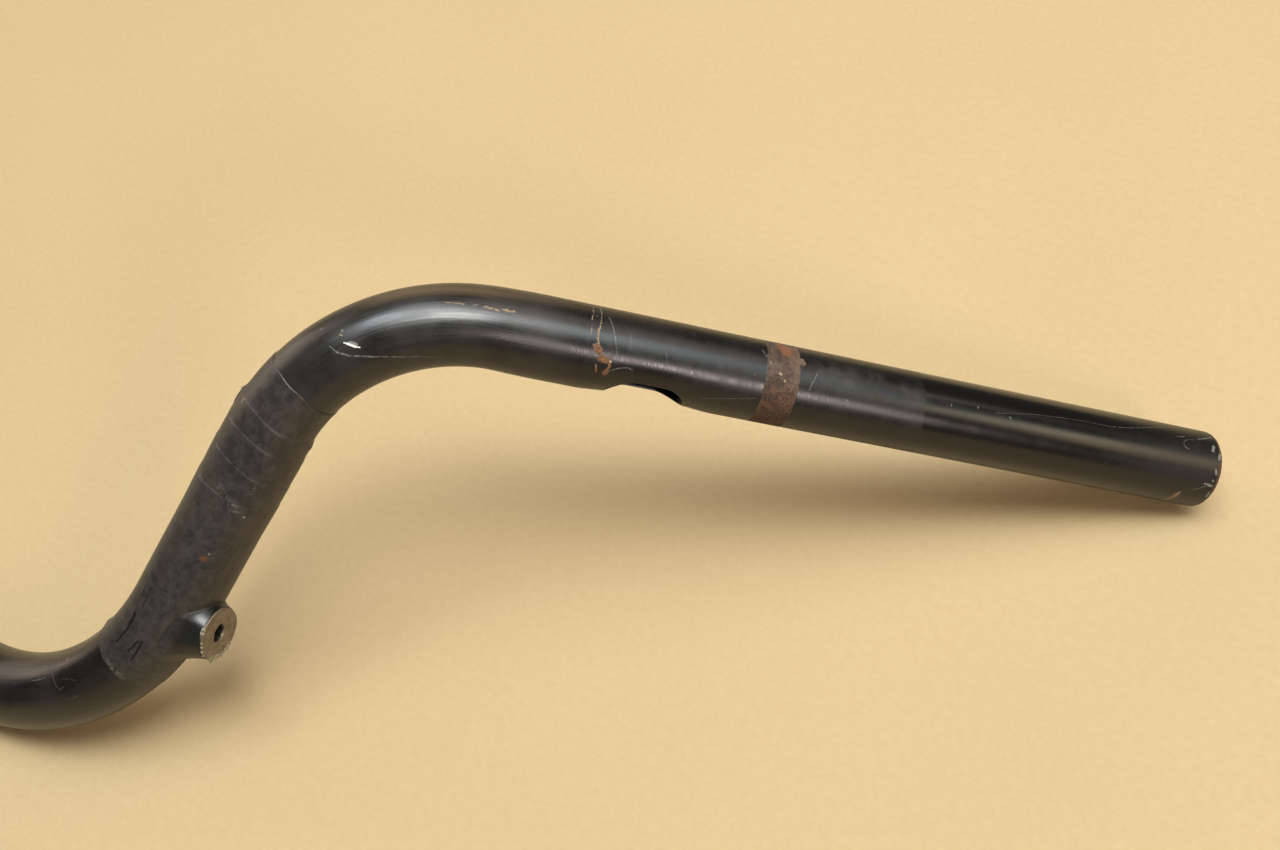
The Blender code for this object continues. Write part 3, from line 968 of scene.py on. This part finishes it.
BLACK_PAINT = (0.0027, 0.0025, 0.0025)
WORN_PAINT = (0.0067, 0.0064, 0.0065)
BROWN_DUST = (0.020, 0.0144, 0.0099)
DUST_FILM = (0.0150, 0.0136, 0.0122)
# The next two colours are a nick's bare steel: lit, as a painted highlight, and dull, as painted shade.
BARE_STEEL_GLINT = (0.46, 0.45, 0.425)
SHADED_STEEL = (0.105, 0.105, 0.083)
# The scratch grey also paints highlights: on the slot lip and along the tape's edges.
SCRATCH_AND_HIGHLIGHT_GREY = (0.135, 0.128, 0.112)
RUST_DARK = (0.0165, 0.0081, 0.0049)
RUST_BROWN = (0.058, 0.026, 0.0126)
# Rust mauve and tan paint the rust's upper side greyer and lighter: painted reflection and highlight.
RUST_MAUVE_SHEEN = (0.055, 0.037, 0.026)
RUST_TAN_HIGHLIGHT = (0.135, 0.083, 0.047)
RUST_RED = (0.105, 0.038, 0.0135)
RUST_ORANGE = (0.210, 0.090, 0.027)
RUST_YELLOW = (0.277, 0.210, 0.098)
TAN_SCUFF = (0.165, 0.112, 0.061)
RUBBED_PAINT = (0.025, 0.023, 0.022)
CHIP_GREY = (0.150, 0.150, 0.128)

# Zones of the paint, in millimetres from the end.
GRIP_LENGTH = 90.6
RUST_BAND = (128.6, 137.7)
LEFT_RUST_BAND = (131.0, 137.5)

# Wear on the right half, with a nick's painted highlight and painted shade: strength, width,
# then places as millimetres from the end and degrees.
# Painted highlights on bare steel: a nick's bright crescent and a small spot. The next table is the
# nick's painted shade.
NICK_PAINTED_GLINT = marks(
    (0.7, 0.30, [(244.6, -30), (244.0, -33)]),
    (1.0, 0.42, [(244.0, -33), (243.3, -37), (242.6, -41)]),
    (0.8, 0.30, [(242.6, -41), (241.7, -44)]),
    (0.6, 0.32, [(179.1, -51), (178.9, -52)]),
)
NICK_SHADE = marks((1.0, 0.80, [(243.3, -34), (242.3, -39)]))
PALE_SCRATCHES = marks(
    (0.28, 0.17, [(133.6, -51), (131.0, -48), (128.8, -46)]),
    (0.6, 0.28, [(128.9, -46), (128.6, -46)]),
    (0.4, 0.24, [(247.9, -25), (247.1, -36)]),
    (1.0, 0.28, [(247.1, -36), (244.8, -48), (239.6, -62)]),
    (0.7, 0.24, [(239.6, -62), (232.8, -75), (228.7, -80)]),
    (0.35, 0.20, [(228.7, -80), (221.8, -88)]),
    (0.40, 0.18, [(153.0, -80), (139.0, -62)]),
    (0.45, 0.20, [(123.9, -12), (125.0, -28), (125.5, -37)]),
    (0.45, 0.20, [(181.1, 12), (180.4, 5), (179.6, -9), (178.5, -29), (177.6, -44)]),
    (0.35, 0.20, [(184.6, 40), (185.3, 22), (184.9, 11), (183.9, 9)]),
    (0.55, 0.24, [(183.2, 34), (182.9, 16), (183.0, 2)]),
    (0.30, 0.16, [(175.3, -5), (174.9, -18), (174.6, -32)]),
    (0.30, 0.16, [(165.2, -25), (164.7, -35), (164.5, -43)]),
    (0.60, 0.22, [(179.1, -66), (177.3, -60), (175.9, -57), (174.1, -55), (173.0, -57)]),
    (0.24, 0.18, [(71.8, -16), (60.1, -6), (51.2, -2), (45.1, 0), (36.1, 0)]),
    (0.36, 0.18, [(36.1, 0), (29.8, 5), (24.9, 12), (17.8, 23)]),
    (0.45, 0.24, [(14.5, 8), (12.1, 10)]),
    (0.65, 0.26, [(7.5, 11), (4.8, 16), (2.2, 22)]),
    (0.40, 0.22, [(9.1, 7), (11.1, 6), (12.4, 2), (13.0, -3), (12.4, -9), (11.4, -11)]),
    (0.45, 0.22, [(7.2, -71), (5.7, -67), (4.0, -61)]),
    (0.50, 0.40, [(244.0, -15), (243.9, -13)]),
    (0.60, 0.34, [(248.9, 8), (248.1, 6)]),
    (0.16, 0.24, [(379.4, 26), (379.1, 9)]),
    (0.26, 0.24, [(379.1, 9), (378.1, -4), (376.8, -23), (375.7, -32), (373.9, -29)]),
    (0.20, 0.24, [(373.7, -18), (370.9, -22), (368.6, -28)]),
    (0.20, 0.22, [(376.0, -42), (373.7, -50), (370.8, -48)]),
    (0.50, 0.40, [(376.0, 7), (375.6, 7)]),
    (0.28, 0.26, [(386.5, -10), (384.0, -10), (381.0, -8)]),
    (0.50, 0.34, [(139.2, 10), (138.5, 3), (138.1, 0)]),
    (0.60, 0.30, [(115.0, -40), (114.2, -42)]),
    (0.50, 0.22, [(85.0, -17), (84.9, -19)]),
    (0.50, 0.22, [(77.1, -12), (77.0, -14)]),
    (0.45, 0.26, [(67.5, -18), (67.2, -20)]),
)
TAN_SCUFFS = marks(
    (0.55, 0.35, [(183, 4), (183.2, -11)]),
    (0.70, 0.45, [(183.4, -11), (183.4, -24), (182.9, -32)]),
    (0.40, 0.25, [(185, 24), (185.4, 4), (185.3, -20)]),
    (0.8, 0.45, [(10.1, -80), (10.5, -86)]),
    (0.9, 1.15, [(10.5, -86), (10.8, -99), (11.2, -110)]),
    (0.6, 0.30, [(220.6, -9), (218.5, -10), (216.7, -11)]),
    (0.5, 0.34, [(214.7, -12), (213.8, -10)]),
    (0.7, 0.45, [(212.3, -12), (211.6, -12)]),
    (0.9, 0.50, [(211.0, -13), (210.5, -13)]),
    (0.8, 0.50, [(209.7, -14), (209.2, -14)]),
    (0.6, 0.45, [(208.3, -11), (207.9, -12)]),
    (0.9, 0.50, [(207.4, -11), (206.8, -12)]),
    (0.7, 0.50, [(206.0, -12), (205.4, -11)]),
    (0.6, 0.50, [(244.7, -18), (244.4, -19)]),
    (0.5, 0.50, [(372.5, 10), (371.5, 10)]),
)
HAZE_PATCHES = marks(
    (1.0, 4.5, [(124, -3), (119, -1), (115, -8)]),
    (0.8, 3.5, [(112, 3), (107, 2)]),
    (0.7, 3.5, [(99, -11), (94, -18)]),
)
RIM_CHIPS = marks(
    (1.0, 0.62, [(3.0, 2), (3.3, -2), (3.5, -6)]),
    (0.9, 0.55, [(1.5, -10), (1.6, -17)]),
    (0.9, 0.52, [(2.5, -34), (2.1, -40)]),
    (1.0, 0.40, [(2.5, -50), (2.4, -51)]),
    (0.7, 0.42, [(4.6, -57), (3.7, -58)]),
    (0.9, 0.60, [(3.3, -58), (2.2, -59)]),
    (0.6, 0.50, [(1.9, -70), (1.6, -80)]),
)
RUST_RING = marks(
    (1.0, 1.5, [(183.3, -36), (182.5, -39)]),
    (1.0, 0.65, [(182.5, -39), (181.6, -46), (181.4, -49)]),
    (1.0, 1.1, [(181.8, -51), (179.8, -51)]),
    (1.0, 0.60, [(179.5, -51), (179, -58), (179.3, -63)]),
    (1.0, 1.1, [(179.5, -66), (179.7, -69)]),
    (0.7, 0.45, [(182.4, -60), (182.1, -70)]),
)
BAND_BLOBS = marks(
    (1.0, 1.3, [(128.2, 5), (127.9, 1)]),
    (0.9, 1.2, [(128.5, 36), (125.4, 35)]),
)
RED_PATCH = marks((1.0, 3.2, [(133.0, 28), (132.2, 16)]))
BAND_FLECKS = marks(
    (0.8, 0.50, [(134.2, -22), (133.8, -23)]),
    (0.6, 0.45, [(132.7, -30), (132.4, -32)]),
    (0.5, 0.40, [(137.0, -8), (136.7, -10)]),
)
TAPE_DOTS = marks(
    (1.0, 0.36, [(298.1, -69), (297.9, -70)]),
    (0.5, 0.34, [(289.2, -62), (289.0, -63)]),
    (0.7, 0.36, [(311.4, -52), (311.4, -53)]),
    (0.8, 0.42, [(295.8, 19), (295.8, 18)]),
    (0.8, 0.32, [(271.7, 14), (272.6, 13)]),
    (0.5, 0.26, [(265.1, -102), (261.9, -101)]),
)
TAPE_RESIDUE = marks(
    (0.8, 1.6, [(293.2, -22), (295.2, -38), (295.6, -48)]),
    (0.6, 1.3, [(296.2, -46), (296.6, -58)]),
)
TAPE_GROOVES = marks(
    (0.8, 0.45, [(329.6, 6), (332.3, 5), (335.3, 1)]),
    (0.6, 0.40, [(329.1, -4), (332.2, -6), (335.1, -8)]),
    (1.0, 0.45, [(338.1, -5), (343.5, -12), (349.1, -14)]),
    (0.8, 0.45, [(343.7, -35), (345.8, -35), (348.0, -35)]),
    (1.0, 0.45, [(343.3, -39), (346.9, -44), (349.3, -46)]),
)
TAPE_RUST = marks(
    (1.0, 1.15, [(313.5, -48), (313.2, -50)]),
    (0.8, 0.9, [(316.3, -117), (318.4, -127)]),
)


def paper_floor():
    """Pale tan card: nearly plain, with the faint mottle of its fibres."""
    floor = Finish("pale_card")
    place = floor.node("ShaderNodeNewGeometry", {}, output=0)
    fibres = floor.noise(place, 420.0, detail=4.0, roughness=0.7)
    clouds = floor.noise(place, 9.0, detail=2.0)
    tint = floor.add(floor.times(fibres, 0.75), floor.times(clouds, 0.25))
    colour = floor.mix(tint, (0.288, 0.209, 0.108), (0.382, 0.295, 0.166))
    floor.put(floor.shader.inputs["Base Color"], colour)
    floor.shader.inputs["Roughness"].default_value = 0.85
    floor.shader.inputs["Specular IOR Level"].default_value = 0.2
    return floor.material


class Paint(BarFinish):
    """Worn satin black: a glossy grip zone, a hazy run, rust rings, chips and scratches."""

    def __init__(self, name):
        super().__init__(name)
        hoops_place = self.scaled(self.unrolled, (3.6, 0.30, 1.0))
        streaks_place = self.scaled(self.unrolled, (0.05, 1.7, 1.0))
        self.patches = self.noise(self.straight, 0.07, detail=4.0, roughness=0.6)
        self.smudge = self.noise(self.straight, 0.35)
        self.hoops = self.noise(hoops_place, 1.0, roughness=0.6)
        self.streaks = self.noise(streaks_place, 1.0, detail=4.0, roughness=0.65)
        self.speckle = self.noise(self.straight, 1.6, detail=1.0)
        self.grain = self.noise(self.straight, 2.3, detail=4.0, roughness=0.75)
        self.covered = self.grip_zone()
        self.haze = self.less(self.step(self.from_end, 200.0, 92.0), self.covered)
        self.on_bend = self.step(self.from_end, 186.0, 200.0)
        self.on_run = self.times(self.less(1.0, self.on_bend), self.less(1.0, self.covered))
        worn = self.add(self.times(self.patches, 0.9), self.times(self.smudge, 0.25))
        self.worn = self.less(self.step(worn, 0.40, 0.85), self.covered)

    def grip_zone(self):
        """Where a grip kept the paint glossy: up to a slanted, slightly uneven edge."""
        lean = self.math("COSINE", self.times(self.degrees, math.pi / 180.0))
        edge = self.add(self.times(lean, 2.2), GRIP_LENGTH)
        edge = self.add(edge, self.times(self.minus(self.smudge, 0.5), 1.4))
        return self.step(self.minus(edge, self.from_end), -0.25, 0.35)

    def lay_paint(self):
        """Black, greyer where worn, dusty on bend 1, filmed on bend 2 and rubbed on the run."""
        self.colour = self.mix(self.worn, BLACK_PAINT, WORN_PAINT)
        dust = self.times(self.step(self.patches, 0.50, 0.72), self.step(self.from_end, 330.0, 400.0))
        self.cover(dust, BROWN_DUST, 0.25)
        film = self.times(self.on_bend, self.step(self.from_end, 330.0, 285.0))
        self.cover(self.times(film, self.step(self.patches, 0.2, 0.6)), DUST_FILM, 0.8)
        rubbed = self.times(self.step(self.hoops, 0.56, 0.82), self.haze, 0.5)
        clouded = self.times(self.strokes(HAZE_PATCHES), self.step(self.smudge, 0.35, 0.65), 0.7)
        self.cover(self.most(rubbed, clouded), RUBBED_PAINT)

    def gloss(self):
        """Roughness of the bare paint, lowest where the grip was."""
        lines = self.add(self.times(self.minus(self.hoops, 0.5), self.on_run),
                         self.times(self.minus(self.streaks, 0.5), self.on_bend))
        bare = self.add(self.lerp(self.worn, 0.28, 0.38), self.times(lines, 0.32))
        grip = self.add(self.lerp(self.smudge, 0.13, 0.25), self.times(self.streaks, 0.06))
        grip = self.add(grip, self.times(self.step(self.from_end, 50.0, 5.0), 0.14))
        return self.lerp(self.covered, bare, grip)

    def rust_mask(self):
        """Where the paint has rusted through: a band, a broken ring and a few spots."""
        uneven = self.noise(self.straight, 0.75, detail=5.0, roughness=0.65)
        place = self.add(self.from_end, self.times(self.minus(uneven, 0.5), 1.5))
        band = self.times(self.band(place, *RUST_BAND, 0.18), self.right)
        blobs = self.torn(BAND_BLOBS, uneven, 0.30, 0.42)
        ring = self.torn(RUST_RING, uneven, 0.30, 0.42)
        left_band = self.less(self.band(place, *LEFT_RUST_BAND, 0.3), self.right)
        left_band = self.times(left_band, self.step(self.smudge, 0.36, 0.46))
        spots = self.step(self.noise(self.straight, 0.55, detail=4.0), 0.71, 0.74)
        return self.most(band, blobs, ring, left_band, self.times(spots, self.haze, 0.7))

    def rust_colour(self):
        """Brown rust with dark pits and orange specks. Its upper side, on the band and the ring, is
        painted greyer and lighter with fewer specks, as a painted reflection of the light from above.
        """
        broad = self.noise(self.straight, 0.40, detail=5.0, roughness=0.75)
        # The upper side is painted mauve, tan and less specked: a painted reflection of the overhead
        # light.
        upper = self.step(self.add(self.degrees, self.times(broad, 40.0)), -40.0, 15.0)
        band_top_highlight = self.times(self.step(self.from_end, 133.5, 129.5), upper)
        specks = self.times(self.step(self.grain, 0.54, 0.66), self.lerp(upper, 0.75, 0.35))
        ring = self.step(self.from_end, 176.0, 178.0)
        ring_top_highlight = self.times(ring, self.step(self.degrees, -34.0, -22.0))
        ring_grain = self.times(ring, self.step(self.grain, 0.35, 0.6), 0.6)
        body = self.mix(upper, RUST_BROWN, RUST_MAUVE_SHEEN)
        rust = self.mix(self.step(broad, 0.40, 0.62), RUST_DARK, body)
        for share, colour in (
                (self.times(band_top_highlight, 0.25), RUST_TAN_HIGHLIGHT),
                (self.times(self.torn(RED_PATCH, broad, 0.15, 0.60), 0.9), RUST_RED),
                (specks, RUST_ORANGE),
                (self.times(self.step(self.grain, 0.46, 0.36), 0.75), RUST_DARK),
                (self.times(ring_top_highlight, 0.7), RUST_TAN_HIGHLIGHT),
                (self.less(ring_grain, ring_top_highlight), RUST_ORANGE),
                (self.times(self.step(self.strokes(BAND_FLECKS), 0.2, 0.55), 0.75), RUST_YELLOW)):
            rust = self.mix(share, rust, colour)
        return rust

    def chipped(self):
        """Bare spots on the rim: placed ones on the right end, scattered ones on the left."""
        left = self.less(self.step(self.noise(self.straight, 0.62), 0.66, 0.69), self.right)
        left = self.times(left, self.step(self.from_end, 4.5, 2.5))
        return self.most(self.torn(RIM_CHIPS, self.speckle, 0.22, 0.38), left)

    def scratched_and_lip_highlight(self):
        """Pale scratches, and the slot lip's pale line that is partly a painted highlight, broken up by
        a fine noise.
        """
        lines = self.step(self.strokes(PALE_SCRATCHES + slot_lip_wear_and_highlight()), 0.0, 0.45)
        return self.times(lines, self.times(self.step(self.speckle, 0.25, 0.60), 0.8))

    def build(self):
        """Paint, then wear over it, then the walls of the slots and the bore as black metal that
        reflects nothing: painted shade.
        """
        self.lay_paint()
        rusty, chips, pale = self.rust_mask(), self.chipped(), self.scratched_and_lip_highlight()
        tan = self.torn(TAN_SCUFFS, self.speckle, 0.15, 0.60)
        rim_rust = self.times(self.step(self.from_end, 1.7, 0.9), self.step(self.smudge, 0.25, 0.45))
        # Painted highlight and painted shade on the nick's bare steel.
        nick_glint = self.step(self.strokes(NICK_PAINTED_GLINT), 0.20, 0.50)
        shade = self.step(self.strokes(NICK_SHADE), 0.20, 0.50)
        # Painted shade: the walls of the slots and the bore, away from the ends, are made black.
        slot_and_bore_shade = self.times(self.step(self.from_axis(), 10.3, 9.9),
                            self.step(self.from_end, 20.0, 30.0))
        # Scratches, and the slot lip's line, which is partly a painted highlight.
        self.cover(pale, SCRATCH_AND_HIGHLIGHT_GREY, 0.75)
        self.cover(tan, TAN_SCUFF)
        self.cover(rusty, self.rust_colour())
        self.cover(rim_rust, RUST_BROWN)
        self.cover(chips, CHIP_GREY, 0.6)
        self.cover(shade, SHADED_STEEL)
        self.cover(nick_glint, BARE_STEEL_GLINT)
        self.cover(slot_and_bore_shade, BLACK_PAINT)
        gloss = self.lerp(self.most(rusty, tan, rim_rust), self.gloss(), 0.8)
        gloss = self.lerp(self.most(pale, chips, shade, nick_glint), gloss, 0.5)
        # Metallic with a black colour reflects nothing there: part of the same painted shade.
        self.put(self.shader.inputs["Metallic"], slot_and_bore_shade)
        relief = self.add(self.times(self.hoops, self.on_run),
                          self.times(self.streaks, self.on_bend, 6.0))
        relief = self.add(relief, self.times(rusty, self.add(self.grain, 0.4), 5.0))
        relief = self.minus(relief, self.times(self.most(pale, chips, shade), 4.0))
        return self.complete(gloss, relief, 0.006 * MM, specular=0.46)


def sawn_steel():
    """The boss's raw face: dull brown-grey steel with saw lines, pale torn metal at its rim
    and a hole whose walls are painted darker and less metallic with depth, as painted shade."""
    steel = Finish("sawn_steel")
    place = steel.node("ShaderNodeNewGeometry", {}, output=0)
    deep, torn_edge = steel.number("hole_depth"), steel.number("torn_edge")
    grain = steel.noise(place, 1800.0)
    lines = steel.noise(steel.scaled(place, (400.0, 5200.0, 700.0)), 1.0, detail=2.0)
    bloom = steel.noise(place, 420.0)
    edge = steel.step(steel.add(torn_edge, steel.times(grain, 0.5)), 0.55, 0.85)
    pale = steel.mix(steel.step(grain, 0.40, 0.62), (0.105, 0.098, 0.063), (0.262, 0.247, 0.173))
    steel.colour = steel.mix(
        steel.step(bloom, 0.35, 0.65), (0.090, 0.068, 0.041), (0.143, 0.112, 0.074))
    steel.cover(steel.step(grain, 0.5, 0.75), (0.225, 0.195, 0.135), 0.5)
    steel.cover(edge, pale, 0.85)
    # Painted shade: the hole grows darker, and below less metallic, with its depth.
    steel.cover(steel.step(deep, 0.15, 0.9), (0.0083, 0.0053, 0.0034))
    metal = steel.less(steel.less(steel.lerp(bloom, 0.2, 0.5), steel.step(deep, 0.1, 0.6)), edge)
    steel.put(steel.shader.inputs["Metallic"], metal)
    height = steel.add(lines, steel.times(grain, 0.6))
    return steel.complete(steel.lerp(grain, 0.45, 0.68), height, 0.05 * MM)


def weld_paint():
    """Glossy black round the boss that turns to the dusty grey of the riser at its foot."""
    weld = BarFinish("weld_paint")
    clouds = weld.noise(weld.straight, 0.34, detail=6.0, roughness=0.78)
    cloth = weld.noise(weld.straight, 1.1, detail=4.0, roughness=0.7)
    spread = weld.add(weld.number("weld_foot"), weld.times(weld.minus(clouds, 0.5), 0.8))
    dusty = weld.step(spread, 0.10, 0.55)
    dust = weld.mix(weld.step(clouds, 0.38, 0.64), (0.0100, 0.0091, 0.0085), (0.024, 0.0214, 0.0194))
    weld.colour = weld.mix(dusty, (0.0037, 0.0036, 0.0036), dust)
    return weld.complete(weld.lerp(dusty, 0.33, 0.44), cloth, 0.03 * MM, specular=0.45)


def black_tape():
    """Matt tape with brown stains, a pale line along its edges on the upper front side as a
    painted highlight, dirt at its foot and specks.
    """
    tape = BarFinish("black_tape")
    gap = tape.number("tape_edge")
    lengthwise = tape.scaled(tape.straight, (0.35, 1.0, 1.0))
    stains = tape.noise(lengthwise, 0.13, detail=5.0, roughness=0.65)
    clouds = tape.noise(tape.straight, 0.34, detail=6.0, roughness=0.78)
    cloth = tape.noise(lengthwise, 1.1, detail=4.0, roughness=0.7)
    speckle = tape.noise(tape.straight, 1.3)
    # Creases in the tape: pressed in by the relief and darkened below as painted shade.
    grooves = tape.torn(TAPE_GROOVES, speckle, 0.15, 0.45)
    brown = tape.times(tape.step(stains, 0.48, 0.66), tape.step(cloth, 0.25, 0.65))
    # Painted highlight: a pale line where the tape's edges catch the light, on the upper front side
    # only.
    line = tape.times(tape.band(gap, -0.08, 0.14, 0.09), tape.step(speckle, 0.36, 0.60))
    line = tape.times(line, tape.band(tape.degrees, -52.0, 18.0, 12.0))
    foot = tape.times(tape.step(tape.from_end, 353.8, 355.6), tape.step(speckle, 0.46, 0.64))
    foot = tape.times(foot, tape.band(tape.degrees, -56.0, -20.0, 9.0))
    residue = tape.times(tape.strokes(TAPE_RESIDUE), tape.step(speckle, 0.42, 0.62))
    tape.colour = tape.mix(
        tape.step(clouds, 0.38, 0.64), (0.0110, 0.0100, 0.0093), (0.026, 0.0232, 0.0210))
    tape.cover(brown, (0.040, 0.028, 0.0200), 0.6)
    # Painted shade: the tape's creases made nearly black.
    tape.cover(grooves, (0.0018, 0.0016, 0.0016))
    tape.cover(line, SCRATCH_AND_HIGHLIGHT_GREY, 0.22)
    tape.cover(foot, (0.105, 0.098, 0.068), 0.6)
    tape.cover(residue, (0.083, 0.075, 0.056), 0.55)
    tape.cover(tape.step(speckle, 0.68, 0.76), (0.058, 0.043, 0.028), 0.35)
    tape.cover(tape.step(tape.strokes(TAPE_DOTS), 0.1, 0.8), (0.225, 0.217, 0.180), 0.75)
    tape.cover(tape.torn(TAPE_RUST, speckle, 0.25, 0.50), (0.070, 0.028, 0.0099), 0.85)
    height = tape.minus(tape.add(cloth, tape.times(speckle, 0.6)), grooves)
    return tape.complete(tape.lerp(clouds, 0.30, 0.52), height, 0.045 * MM, specular=0.40)


# ------------------------------------------------------------------------------- studio

VIEW_AZIMUTH = 40.7
VIEW_ELEVATION = 55.14
VIEW_ROLL = -11.8
CAMERA_POINT = Vector((360.07, -124.22, 347.76)) * MM
LENS = 36.65


def add_camera():
    data = bpy.data.cameras.new("camera")
    data.lens = LENS
    camera = bpy.data.objects.new("camera", data)
    bpy.context.scene.collection.objects.link(camera)
    azimuth, elevation = math.radians(VIEW_AZIMUTH), math.radians(VIEW_ELEVATION)
    ahead = Vector((-math.sin(azimuth) * math.cos(elevation),
                    math.cos(azimuth) * math.cos(elevation), -math.sin(elevation)))
    level = ahead.to_track_quat("-Z", "Y").to_matrix().to_4x4()
    roll = Matrix.Rotation(math.radians(VIEW_ROLL), 4, "Z")
    camera.matrix_world = Matrix.Translation(CAMERA_POINT) @ level @ roll
    bpy.context.scene.camera = camera


# Soft panels round the bar: how far each leans from overhead towards +X and +Y, its width and
# height as seen from the bar, all in degrees, its radiance and its colour.
PANEL_DISTANCE = 2.0
PANEL_AIM = Vector((0.24, 0.02, 0.07))
PANELS = (
    ("zenith_left", (-12, 1), (24, 18), 15.3, (0.93, 1.0, 1.04)),
    ("zenith_right", (12, 1), (24, 18), 25.9, (0.98, 1.0, 0.97)),
    ("zenith_back", (2, 18), (48, 14), 5.6, (1.0, 1.0, 1.0)),
    ("ceiling_back", (12, 38), (44, 20), 1.20, (1.25, 1.0, 0.80)),
    ("ceiling_right", (32, 14), (14, 24), 2.93, (0.78, 1.0, 1.10)),
    ("window", (55, -31), (11, 11), 27.9, (1.18, 1.0, 0.94)),
    ("right_side", (52, 12), (12, 24), 2.13, (1.05, 1.0, 0.80)),
    ("right_back", (68, 26), (22, 44), 1.86, (1.40, 1.0, 0.60)),
    ("left_wall", (-74, 0), (40, 30), 1.86, (1.25, 1.0, 0.80)),
    ("back_wall", (-46, 58), (40, 30), 1.33, (1.50, 1.0, 0.50)),
    ("front_wall", (0, -72), (50, 26), 0.30, (1.0, 1.0, 0.88)),
)


def add_panel(name, lean, spread, radiance, colour):
    """A soft panel that faces the bar."""
    data = bpy.data.lights.new(name, "AREA")
    data.shape = "RECTANGLE"
    data.size, data.size_y = (2.0 * PANEL_DISTANCE * math.tan(math.radians(angle / 2.0))
                              for angle in spread)
    data.energy = radiance * math.pi * data.size * data.size_y
    data.color = colour
    light = bpy.data.objects.new(name, data)
    bpy.context.scene.collection.objects.link(light)
    tilt = math.radians(math.hypot(*lean))
    flat = Vector((*lean, 0.0)).normalized() * math.sin(tilt)
    away = flat + Vector((0.0, 0.0, math.cos(tilt)))
    wide = (Vector((1.0, 0.0, 0.0)) - away * away.x).normalized()
    light.location = PANEL_AIM + away * PANEL_DISTANCE
    light.rotation_mode = "QUATERNION"
    light.rotation_quaternion = Matrix((wide, away.cross(wide), away)).transposed().to_quaternion()
    light.visible_camera = False


def add_studio():
    for panel in PANELS:
        add_panel(*panel)
    world = bpy.data.worlds.new("studio")
    world.use_nodes = True
    background = world.node_tree.nodes["Background"]
    background.inputs[0].default_value = (1.0, 0.96, 0.90, 1.0)
    background.inputs[1].default_value = 0.07
    bpy.context.scene.world = world
    bpy.context.scene.view_settings.view_transform = "Standard"


def add_floor():
    mesh = bpy.data.meshes.new("floor")
    half = 3.0
    corners = [(-half, -half, 0.0), (half, -half, 0.0), (half, half, 0.0), (-half, half, 0.0)]
    mesh.from_pydata(corners, [], [(0, 1, 2, 3)])
    mesh.materials.append(paper_floor())
    floor = bpy.data.objects.new("floor", mesh)
    floor.location.z = lowest.z
    bpy.context.scene.collection.objects.link(floor)


# ----------------------------------------------------------------------------- assembly

def place_piece(obj, node):
    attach(obj, "root")
    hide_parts(node)


def main():
    add_camera()
    add_studio()
    add_floor()
    paint, steel = Paint("black_paint").build(), sawn_steel()
    tape, weld_coat = black_tape(), weld_paint()
    place_piece(Tube().build("painted_tube", paint), "bar_tube")
    for prefix, side in (("right", 1), ("left", -1)):
        boss = build_boss(prefix + "_sawn_boss", side, steel)
        place_piece(boss, prefix + "_boss")
        weld = build_weld(prefix + "_boss_fillet", side, weld_coat)
        place_piece(weld, prefix + "_boss_weld")
    wrap = build_tape("riser_tape_wrap", tape)
    place_piece(wrap, "right_riser_tape")


main()
